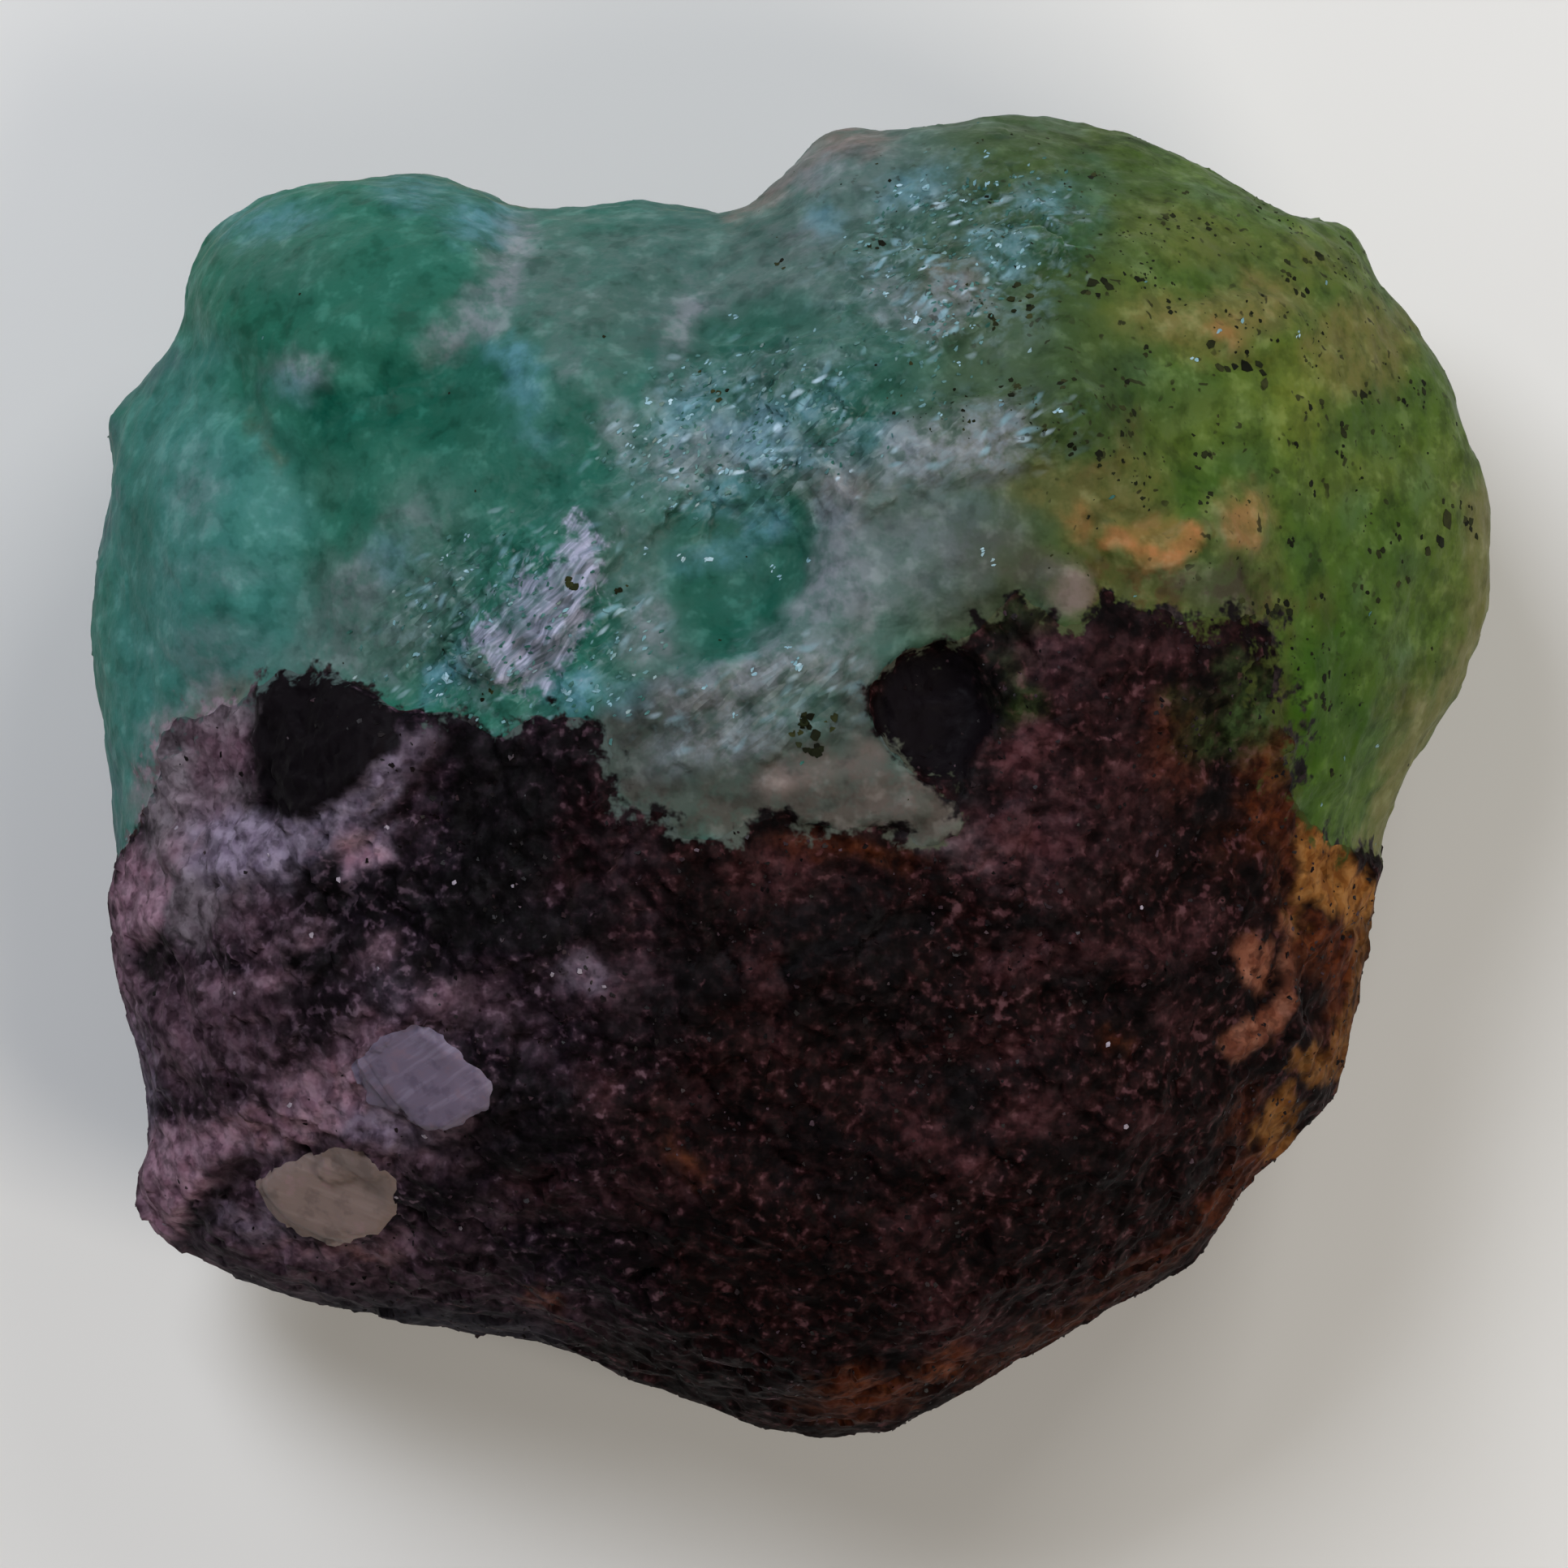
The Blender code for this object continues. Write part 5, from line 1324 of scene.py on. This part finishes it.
def inside(tree, name, broken, ragged=3.0, soft=0.3):
    """1 inside a stored outline, with its edge moved by noise (in mm)."""
    depth = add(tree, "Attribute", out="Fac", attribute_name=name)
    moved = add(tree, "Math", {0: broken, 1: -0.5}, operation="ADD")
    depth = add(tree, "Math", {0: moved, 1: ragged, 2: depth}, operation="MULTIPLY_ADD")
    return between(tree, depth, -soft, soft)


# %% Helpers that lay minerals over each other
def painted(tree, look, grain, coats):
    """Lays stored patches over a colour, each given as name, hex code and graininess."""
    speckled = between(tree, grain, 0.38, 0.60)
    triples = {}
    for name, code, graininess in coats:
        triple, place = PATCH_PLACE[name]
        if triple not in triples:
            stored = add(tree, "Attribute", out="Vector", attribute_name=triple)
            triples[triple] = add(tree, "SeparateXYZ", {0: stored}).node.outputs
        grainy = add(tree, "Math", {0: speckled, 1: graininess, 2: 1 - graininess},
                     operation="MULTIPLY_ADD")
        look = over(tree, look, colour(code), product(tree, triples[triple][place], grainy))
    return look


def schist_share(tree, mm):
    """1 where schist shows and 0 where beryl does: the contact, broken up grain by grain."""
    depth = add(tree, "Attribute", out="Fac", attribute_name="contact")
    broken = add(tree, "TexNoise", {"Vector": mm, "Scale": 1 / 0.8, "Detail": 3.0, "Roughness": 0.64})
    moved = add(tree, "Math", {0: broken, 1: -0.5}, operation="ADD")
    moved = add(tree, "Math", {0: moved, 1: CONTACT_RAGGED, 2: depth}, operation="MULTIPLY_ADD")
    return between(tree, moved, -CONTACT_SOFT, CONTACT_SOFT)


# %% Helpers for cleaved grains
def stretched(tree, mm, turn, sizes):
    """Coordinates that are 1 per grain, for grains of these sizes in mm turned in plan."""
    inputs = {"Vector": mm, "Rotation": (0, 0, turn), "Scale": sizes}
    return add(tree, "Mapping", inputs, vector_type="TEXTURE")


def glinting(tree, normal, cells, share):
    """Leans the normal a different way in every cell, so that each face glints alone."""
    lean = add(tree, "TexVoronoi", {"Vector": cells, "Scale": 1.0}, out="Color")
    lean = add(tree, "VectorMath", {0: lean, 1: (0.5, 0.5, 0.5)}, operation="SUBTRACT")
    lean = add(tree, "VectorMath", {0: lean, "Scale": share}, operation="SCALE")
    leaning = add(tree, "VectorMath", {0: normal, 1: lean}, operation="ADD")
    return add(tree, "VectorMath", {0: leaning}, operation="NORMALIZE")


def painted_glints(tree, cells, share, edge=0.42):
    """Painted glints: bright flecks in the middle of some of the cells of a pattern, with soft edges."""
    middle = add(tree, "TexVoronoi", {"Vector": cells, "Scale": 1.0})
    pick = add(tree, "SeparateColor", {0: middle.node.outputs["Color"]})
    chosen = between(tree, pick, 0.9 - share, 1.1 - share)
    return product(tree, chosen, between(tree, middle, edge, 0.3 * edge))


def shades(tree, value, *stops):
    """Colours that blend along a value, given as (place, hex code)."""
    result = add(tree, "ValToRGB", {0: value})
    ramp_stops = result.node.color_ramp.elements
    while len(ramp_stops) < len(stops):
        ramp_stops.new(0.5)
    for stop, (place, code) in zip(ramp_stops, stops):
        stop.position = place
        stop.color = colour(code)
    return result


print("beryl green, linear:", [round(v, 3) for v in colour("#2E7462")])

# %% Milky beryl, coloured by chromium
def beryl_material():
    material, tree, mm = new_material("milky_beryl")
    broad = add(tree, "TexNoise", {"Vector": mm, "Scale": 1 / 2.8, "Detail": 3.0})
    clumps = add(tree, "TexNoise", {"Vector": mm, "Scale": 1 / 1.3, "Detail": 2.0})
    fine = add(tree, "TexNoise", {"Vector": mm, "Scale": 1 / 0.7, "Detail": 3.0, "Roughness": 0.65})
    tiny = add(tree, "TexNoise", {"Vector": mm, "Scale": 1 / 0.22, "Detail": 1.0})
    sugar = add(tree, "Attribute", out="Fac", attribute_name="sugar")
    warmth = add(tree, "Attribute", out="Fac", attribute_name="warmth")
    milk = add(tree, "Attribute", out="Fac", attribute_name="milk")

    # Body: blue-green at the left lobe, yellow-green on the right side; partly the beryl's own colour,
    # partly a painted tint of the cool light on the left and the warm light on the right
    look = shades(tree, warmth, (0.0, "#1F604A"), (0.12, "#27584E"), (0.26, "#34544A"),
                  (0.42, "#384C36"), (0.66, "#3D4E20"), (0.9, "#455C21"))
    look = over(tree, look, colour("#5A776C"), between(tree, broad, 0.52, 0.72, 0.0, 0.16))
    look = over(tree, look, colour("#173A28"), between(tree, broad, 0.46, 0.30, 0.0, 0.30))
    warm_side = between(tree, warmth, 0.4, 0.7)
    look = over(tree, look, colour("#2A3A16"),
                product(tree, warm_side, between(tree, fine, 0.52, 0.36, 0.0, 0.55)))
    look = painted(tree, look, fine, (
        ("cyan", "#397069", 0.15),
        ("shade", "#2A3E20", 0.30),
        ("haze", "#52625F", 0.35),
        ("deep", "#0A4738", 0.25),
        ("vivid", "#284804", 0.20),
        # yellow-green, partly a painted tint of the warm light on the right
        ("yellow", "#606828", 0.35),
        ("ochre", "#6A5F36", 0.40),
        # painted shade down the left rim
        ("dusk", "#3C5058", 0.20),
        ("olive", "#45381B", 0.55),
        ("clay", "#433D37", 0.25),
        ("smoke", "#2C3431", 0.35),
        ("blush", "#6A5C56", 0.30),
        ("milk", "#74787E", 0.55),
        ("blue", "#5A8896", 0.50),
        # painted light on the right rim
        ("rim", "#68653F", 0.20),
        ("orange", "#96643C", 0.30),
    ))

    # Cloudy all through, in lumps of about a millimetre
    cloudy = add(tree, "TexNoise", {"Vector": mm, "Scale": 1 / 1.0, "Detail": 3.0, "Roughness": 0.6})
    brighter = add(tree, "Gamma", {0: look, 1: 0.72})
    duller = add(tree, "Gamma", {0: look, 1: 1.28})
    look = over(tree, look, brighter, between(tree, cloudy, 0.52, 0.70, 0.0, 0.55))
    look = over(tree, look, duller, between(tree, cloudy, 0.48, 0.32, 0.0, 0.65))

    # Sugary faces whiten where they are bruised
    whitened = product(tree, between(tree, fine, 0.50, 0.70), sugar)
    look = over(tree, look, colour("#6F888B"), product(tree, whitened, 0.45))
    darker = product(tree, between(tree, fine, 0.46, 0.34), sugar)
    look = over(tree, look, colour("#163A2C"), product(tree, darker, 0.35))

    # Painted glints: bright flecks of 0.2 to 0.6 mm along the grooves, where cleavage faces catch the
    # light
    bend = add(tree, "TexNoise", {"Vector": mm, "Scale": 1 / 0.9, "Detail": 0.0}, out="Color")
    bend = add(tree, "VectorMath", {0: bend, 1: (0.5, 0.5, 0.5)}, operation="SUBTRACT")
    wavy = add(tree, "VectorMath", {0: bend, 1: (0.5, 0.5, 0.5), 2: mm}, operation="MULTIPLY_ADD")
    amount = product(tree, sugar, between(tree, clumps, 0.36, 0.60, 0.10, 1.0))
    for turn, sizes, share, code, strength in (
        (12, (1.40, 0.42, 0.8), 0.26, "#7FA6B2", 0.65),
        (50, (1.20, 0.38, 0.8), 0.26, "#84AAB6", 0.65),
        (30, (0.90, 0.32, 0.6), 0.18, "#B4CCD8", 0.80),
    ):
        painted_glint = painted_glints(tree, stretched(tree, wavy, math.radians(turn), sizes), share)
        look = over(tree, look, colour(code), product(tree, product(tree, painted_glint, amount), strength))
    # Tiny painted sparkles over the milky patches
    look = over(tree, look, colour("#A2A8B2"),
                product(tree, product(tree, between(tree, tiny, 0.56, 0.66), milk), 0.55))

    # A tuft of white fibres, each about 0.1 mm wide
    threads = stretched(tree, wavy, math.radians(48), (1.6, 0.13, 0.6))
    threads = add(tree, "TexNoise", {"Vector": threads, "Scale": 1.0, "Detail": 1.0})
    tuft = product(tree, inside(tree, "fibre", fine, 3.5, 0.40),
                   between(tree, clumps, 0.3, 0.5, 0.6, 1.0))
    hair = shades(tree, threads, (0.34, "#626C78"), (0.5, "#7E8294"), (0.70, "#A6A6BC"))
    look = over(tree, look, hair, product(tree, tuft, 0.90))

    # Thin beryl over the schist turns dark, and mica bites into it
    rock = schist_share(tree, mm)
    bite = over(tree, colour("#0D090A"), colour("#2A2122"), between(tree, fine, 0.48, 0.62))
    ashen = add(tree, "Attribute", out="Fac", attribute_name="ashen")
    pale_bite = over(tree, colour("#5E4F54"), colour("#82747C"), between(tree, fine, 0.42, 0.58))
    look = over(tree, look, over(tree, bite, pale_bite, ashen), rock)

    # Specks of black mica under 0.2 mm, which are too small to model
    pepper = add(tree, "Attribute", out="Fac", attribute_name="pepper")
    specks = add(tree, "TexNoise", {"Vector": wavy, "Scale": 1 / 0.34, "Detail": 1.0})
    here = between(tree, specks, 0.655, 0.70)
    crowd = product(tree, pepper, between(tree, clumps, 0.42, 0.58))
    look = over(tree, look, colour("#20200F"), product(tree, here, product(tree, crowd, 0.85)))

    # Cleaved faces are smooth, and the bruised skin between them is not
    roughness = between(tree, fine, 0.35, 0.65, 0.58, 0.46)
    roughness = add(tree, "Mix", {0: sugar, 2: roughness, 3: 0.24}, out=0, data_type="FLOAT")
    pitted = add(tree, "Bump", {"Strength": 0.5, "Distance": 0.05 * MM, "Height": tiny})
    strokes = stretched(tree, mm, GROOVE_TURN, (0.80, 0.16, 0.4))
    normal = glinting(tree, pitted, strokes, product(tree, sugar, 0.85))

    shader = add(tree, "BsdfPrincipled", {
        "Base Color": look, "Roughness": roughness, "IOR": BERYL_IOR, "Normal": normal,
        "Subsurface Weight": 0.20, "Subsurface Radius": (0.7, 1.0, 0.8),
        "Subsurface Scale": BERYL_SCATTER, "Specular IOR Level": 0.06,
    })
    add(tree, "OutputMaterial", {"Surface": shader})
    return material


# %% Mica schist, broken across its layers
def schist_material():
    material, tree, mm = new_material("mica_schist")
    broad = add(tree, "TexNoise", {"Vector": mm, "Scale": 1 / 2.6, "Detail": 3.0})
    fine = add(tree, "TexNoise", {"Vector": mm, "Scale": 1 / 0.75, "Detail": 3.0, "Roughness": 0.6})
    grains = add(tree, "TexNoise", {"Vector": mm, "Scale": 1 / 0.36, "Detail": 2.0})
    tiny = add(tree, "TexNoise", {"Vector": mm, "Scale": 1 / 0.2, "Detail": 1.0})
    violet = add(tree, "Attribute", out="Fac", attribute_name="violet")
    speckle = add(tree, "Attribute", out="Fac", attribute_name="speckle")

    # Body: black mica with brown grains between, more violet on the left side; partly the rock's own
    # tone, partly a painted tint of the cool light there
    look = over(tree, colour("#110505"), colour("#100A11"), violet)
    brown = over(tree, colour("#241011"), colour("#261A23"), violet)
    look = over(tree, look, brown, between(tree, grains, 0.46, 0.60, 0.0, 0.8))
    look = over(tree, look, colour("#060404"), between(tree, fine, 0.50, 0.38, 0.0, 0.7))
    look = over(tree, look, colour("#060405"), between(tree, broad, 0.50, 0.36, 0.0, 0.6))

    # Grains of feldspar, 0.1 to 0.4 mm across, more of them where the rock is speckled
    amount = add(tree, "Math", {0: speckle, 1: 0.10, 2: grains}, operation="MULTIPLY_ADD")
    amount = add(tree, "Math", {0: broad, 1: 0.25, 2: amount}, operation="MULTIPLY_ADD")
    grain_colour = over(tree, colour("#472B2E"), colour("#55434F"), violet)
    look = over(tree, look, grain_colour, between(tree, amount, 0.76, 0.90, 0.0, 0.8))

    # Feldspar and beryl in the rock
    # Painted sheen: grey-blue along the lower-left bevel, where the cool light falls on it
    bevel = add(tree, "Attribute", out="Fac", attribute_name="bevel")
    look = over(tree, look, colour("#26242A"), bevel)
    look = painted(tree, look, fine, (
        ("mauve", "#513C46", 0.55),
        ("ash", "#756A70", 0.40),
        ("rose", "#4A2A2D", 0.60),
        ("rust", "#562812", 0.60),
        ("green", "#2D3E1E", 0.65),
        ("lilac", "#7E7183", 0.50),
        ("biotite", "#0A0809", 0.35),
        ("pink", "#8C6C7A", 0.50),
        ("tan", "#885A2C", 0.25),
        ("salmon", "#7C4C3A", 0.35),
    ))

    # Grains of 0.3 to 0.6 mm differ in shade and run into each other, with dark mica between
    crumbs = add(tree, "TexNoise", {"Vector": mm, "Scale": 1 / 0.55, "Detail": 2.0})
    paler = add(tree, "Gamma", {0: look, 1: 0.80})
    darker = add(tree, "Gamma", {0: look, 1: 1.40})
    look = over(tree, look, paler, between(tree, crumbs, 0.52, 0.62, 0.0, 0.50))
    look = over(tree, look, darker, between(tree, crumbs, 0.48, 0.38, 0.0, 0.60))
    look = over(tree, look, colour("#070506"), between(tree, grains, 0.46, 0.36, 0.0, 0.35))
    # Near-black over the black block and over the pit
    look = over(tree, look, colour("#0D090C"), inside(tree, "black_block_and_pit", fine, 1.2, 0.25))

    # Beryl runs out over the rock in thin skins
    warmth = add(tree, "Attribute", out="Fac", attribute_name="warmth")
    # The skins follow the same left-to-right turn, with its painted tint of the light on each side
    skins = shades(tree, warmth, (0.0, "#3F4F4E"), (0.24, "#46483F"), (0.5, "#404530"),
                   (0.8, "#38401C"))
    rock = schist_share(tree, mm)
    look = over(tree, skins, look, rock)

    roughness = between(tree, fine, 0.35, 0.65, 0.75, 0.55)
    coarse = add(tree, "Bump", {"Strength": 0.5, "Distance": 0.07 * MM, "Height": fine})
    pitted = add(tree, "Bump", {"Strength": 0.5, "Distance": 0.03 * MM, "Height": tiny,
                                "Normal": coarse})
    cells = stretched(tree, mm, LAYER_TURN, (0.28, 0.28, 0.2))
    normal = glinting(tree, pitted, cells, 0.22)
    shader = add(tree, "BsdfPrincipled", {
        "Base Color": look, "Roughness": roughness, "IOR": SCHIST_IOR, "Normal": normal,
        "Specular IOR Level": 0.03,
    })
    add(tree, "OutputMaterial", {"Surface": shader})
    return material


# %% Feldspar, mica plates and beryl slivers
def feldspar_material(name, body, light, dark, edge, turn):
    """Feldspar cleaves into flat steps, which show as fine straight lines."""
    material, tree, mm = new_material(name)
    fine = add(tree, "TexNoise", {"Vector": mm, "Scale": 1 / 0.6, "Detail": 4.0})
    steps = stretched(tree, mm, math.radians(turn), (3.0, 0.28, 1.0))
    steps = add(tree, "TexNoise", {"Vector": steps, "Scale": 1.0, "Detail": 2.0})
    look = over(tree, colour(body), colour(light), between(tree, steps, 0.48, 0.66, 0.0, 0.6))
    look = over(tree, look, colour(dark), between(tree, fine, 0.48, 0.34, 0.0, 0.55))
    look = over(tree, look, colour(edge), between(tree, fine, 0.56, 0.70, 0.0, 0.5))
    bumps = add(tree, "Bump", {"Strength": 0.4, "Distance": 0.05 * MM, "Height": steps})
    shader = add(tree, "BsdfPrincipled", {
        "Base Color": look, "Roughness": 0.48, "IOR": FELDSPAR_IOR, "Normal": bumps,
        "Subsurface Weight": 0.12, "Subsurface Scale": FELDSPAR_SCATTER,
        "Specular IOR Level": 0.15,
    })
    add(tree, "OutputMaterial", {"Surface": shader})
    return material


def plate_material(name, stops, roughness, ior, specular):
    """Loose plates: each has one tone, and its flat face shines."""
    material, tree, mm = new_material(name)
    tone = add(tree, "Attribute", out="Fac", attribute_name="tone")
    fine = add(tree, "TexNoise", {"Vector": mm, "Scale": 1 / 0.25, "Detail": 2.0})
    look = shades(tree, tone, *stops)
    look = over(tree, look, colour("#000000"), between(tree, fine, 0.6, 0.4, 0.0, 0.25))
    shine = between(tree, fine, 0.35, 0.65, roughness - 0.05, roughness + 0.10)
    bumps = add(tree, "Bump", {"Strength": 0.3, "Distance": 0.02 * MM, "Height": fine})
    shader = add(tree, "BsdfPrincipled", {
        "Base Color": look, "Roughness": shine, "IOR": ior, "Normal": bumps,
        "Specular IOR Level": specular,
    })
    add(tree, "OutputMaterial", {"Surface": shader})
    return material


beryl = beryl_material()
schist = schist_material()
grey_feldspar = feldspar_material("grey_feldspar", "#615666", "#746A7B", "#4A4050", "#705B66", 35)
tan_feldspar = feldspar_material("tan_feldspar", "#74635D", "#806F69", "#5C4E4A", "#846A6C", -20)
# The top stop, which only the listed rock glints reach, is a painted highlight
mica_stops = ((0.0, "#080506"), (0.7, "#160D0F"), (0.92, "#2E2025"), (0.985, "#4C3B43"),
              (1.0, "#968C96"))
mica = plate_material("mica_plates", mica_stops, 0.40, MICA_IOR, 0.08)
book_stops = ((0.0, "#10120A"), (0.5, "#1E2211"), (1.0, "#33361C"))
black_mica = plate_material("black_mica_books", book_stops, 0.6, MICA_IOR, 0.04)
# The pale top stops, which the slivers at the listed glints reach, are a painted highlight
sliver_stops = ((0.0, "#2C5A50"), (0.5, "#4C7674"), (0.8, "#6C929A"), (0.94, "#8AAEBA"),
                (1.0, "#C4D8E2"))
clear_beryl = plate_material("cleaved_beryl", sliver_stops, 0.30, BERYL_IOR, 0.25)

dressed = (
    (pieces[GREEN], beryl), (pieces[ROCK], schist), (pieces[GREY_GRAIN], grey_feldspar),
    (pieces[TAN_GRAIN], tan_feldspar), (mica_flakes, mica), (mica_books, black_mica),
    (beryl_slivers, clear_beryl),
)
for piece, material in dressed:
    piece.data.materials.clear()
    piece.data.materials.append(material)
print("materials:", [material.name for _, material in dressed])

# %% [markdown]
# ## Floor, light and camera
#
# The stone is laid down and the camera looks straight down on it, from far enough away that
# its sides hardly show. Two soft boxes stand low at opposite sides, so that the broken faces
# catch them one at a time, and nothing hangs overhead, which keeps the black mica black.

# %% Floor
FLOOR_SIZE = 1.2  # m
bpy.ops.mesh.primitive_plane_add(size=FLOOR_SIZE)
floor = bpy.context.object
floor.name = "pale_table"
floor_paint, tree, mm = new_material("pale_table")
cloudy = add(tree, "TexNoise", {"Vector": mm, "Scale": 1 / 60, "Detail": 3.0})
paint = over(tree, colour("#CFCDC9"), colour("#D6D4D0"), between(tree, cloudy, 0.35, 0.65))
shader = add(tree, "BsdfPrincipled", {"Base Color": paint, "Roughness": 0.7})
add(tree, "OutputMaterial", {"Surface": shader})
floor.data.materials.append(floor_paint)

# %% Lights
SKY_STRENGTH = 0.10
SOFT_BOXES = (
    # name, azimuth from +X, elevation, distance m, size m, watts, tint
    ("left_soft_box", 125, 50, 0.34, 0.14, 0.95, "#EEF4FF"),
    ("right_soft_box", -35, 44, 0.34, 0.16, 0.60, "#FFF8EE"),
    ("back_strip", 60, 38, 0.34, 0.12, 0.34, "#FFFFFF"),
)


def soft_box(name, azimuth, elevation, distance, size, watts, tint):
    lamp = bpy.data.lights.new(name, "AREA")
    lamp.size = size
    lamp.energy = watts
    lamp.color = colour(tint)[:3]
    flat = math.cos(math.radians(elevation)) * distance
    place = Vector((flat * math.cos(math.radians(azimuth)), flat * math.sin(math.radians(azimuth)),
                    math.sin(math.radians(elevation)) * distance))
    holder = bpy.data.objects.new(name, lamp)
    holder.location = place
    holder.rotation_euler = (-place).to_track_quat("-Z", "Y").to_euler()
    bpy.context.scene.collection.objects.link(holder)


for settings in SOFT_BOXES:
    soft_box(*settings)
sky = bpy.data.worlds.new("studio")
sky.use_nodes = True
sky.node_tree.nodes["Background"].inputs["Color"].default_value = (1, 1, 1, 1)
sky.node_tree.nodes["Background"].inputs["Strength"].default_value = SKY_STRENGTH
bpy.context.scene.world = sky
bpy.context.scene.view_settings.view_transform = "Standard"
print("lights:", [settings[0] for settings in SOFT_BOXES])

# %% Camera
LENS, SENSOR = 200.0, 36.0  # mm; a long lens
FRAME_PIXELS = 1932
SHIFT_X, SHIFT_Y = -4 / FRAME_PIXELS, -6 / FRAME_PIXELS
camera_data = bpy.data.cameras.new("overhead")
camera_data.lens = LENS
camera_data.sensor_width = SENSOR
camera_data.shift_x, camera_data.shift_y = SHIFT_X, SHIFT_Y
camera_data.clip_start = 0.01
camera = bpy.data.objects.new("overhead", camera_data)
camera.location = (0, 0, WIDEST_LEVEL + CAMERA_DISTANCE)
bpy.context.scene.collection.objects.link(camera)
bpy.context.scene.camera = camera
print("camera", round(CAMERA_DISTANCE / MM), "mm above the stone's widest line")
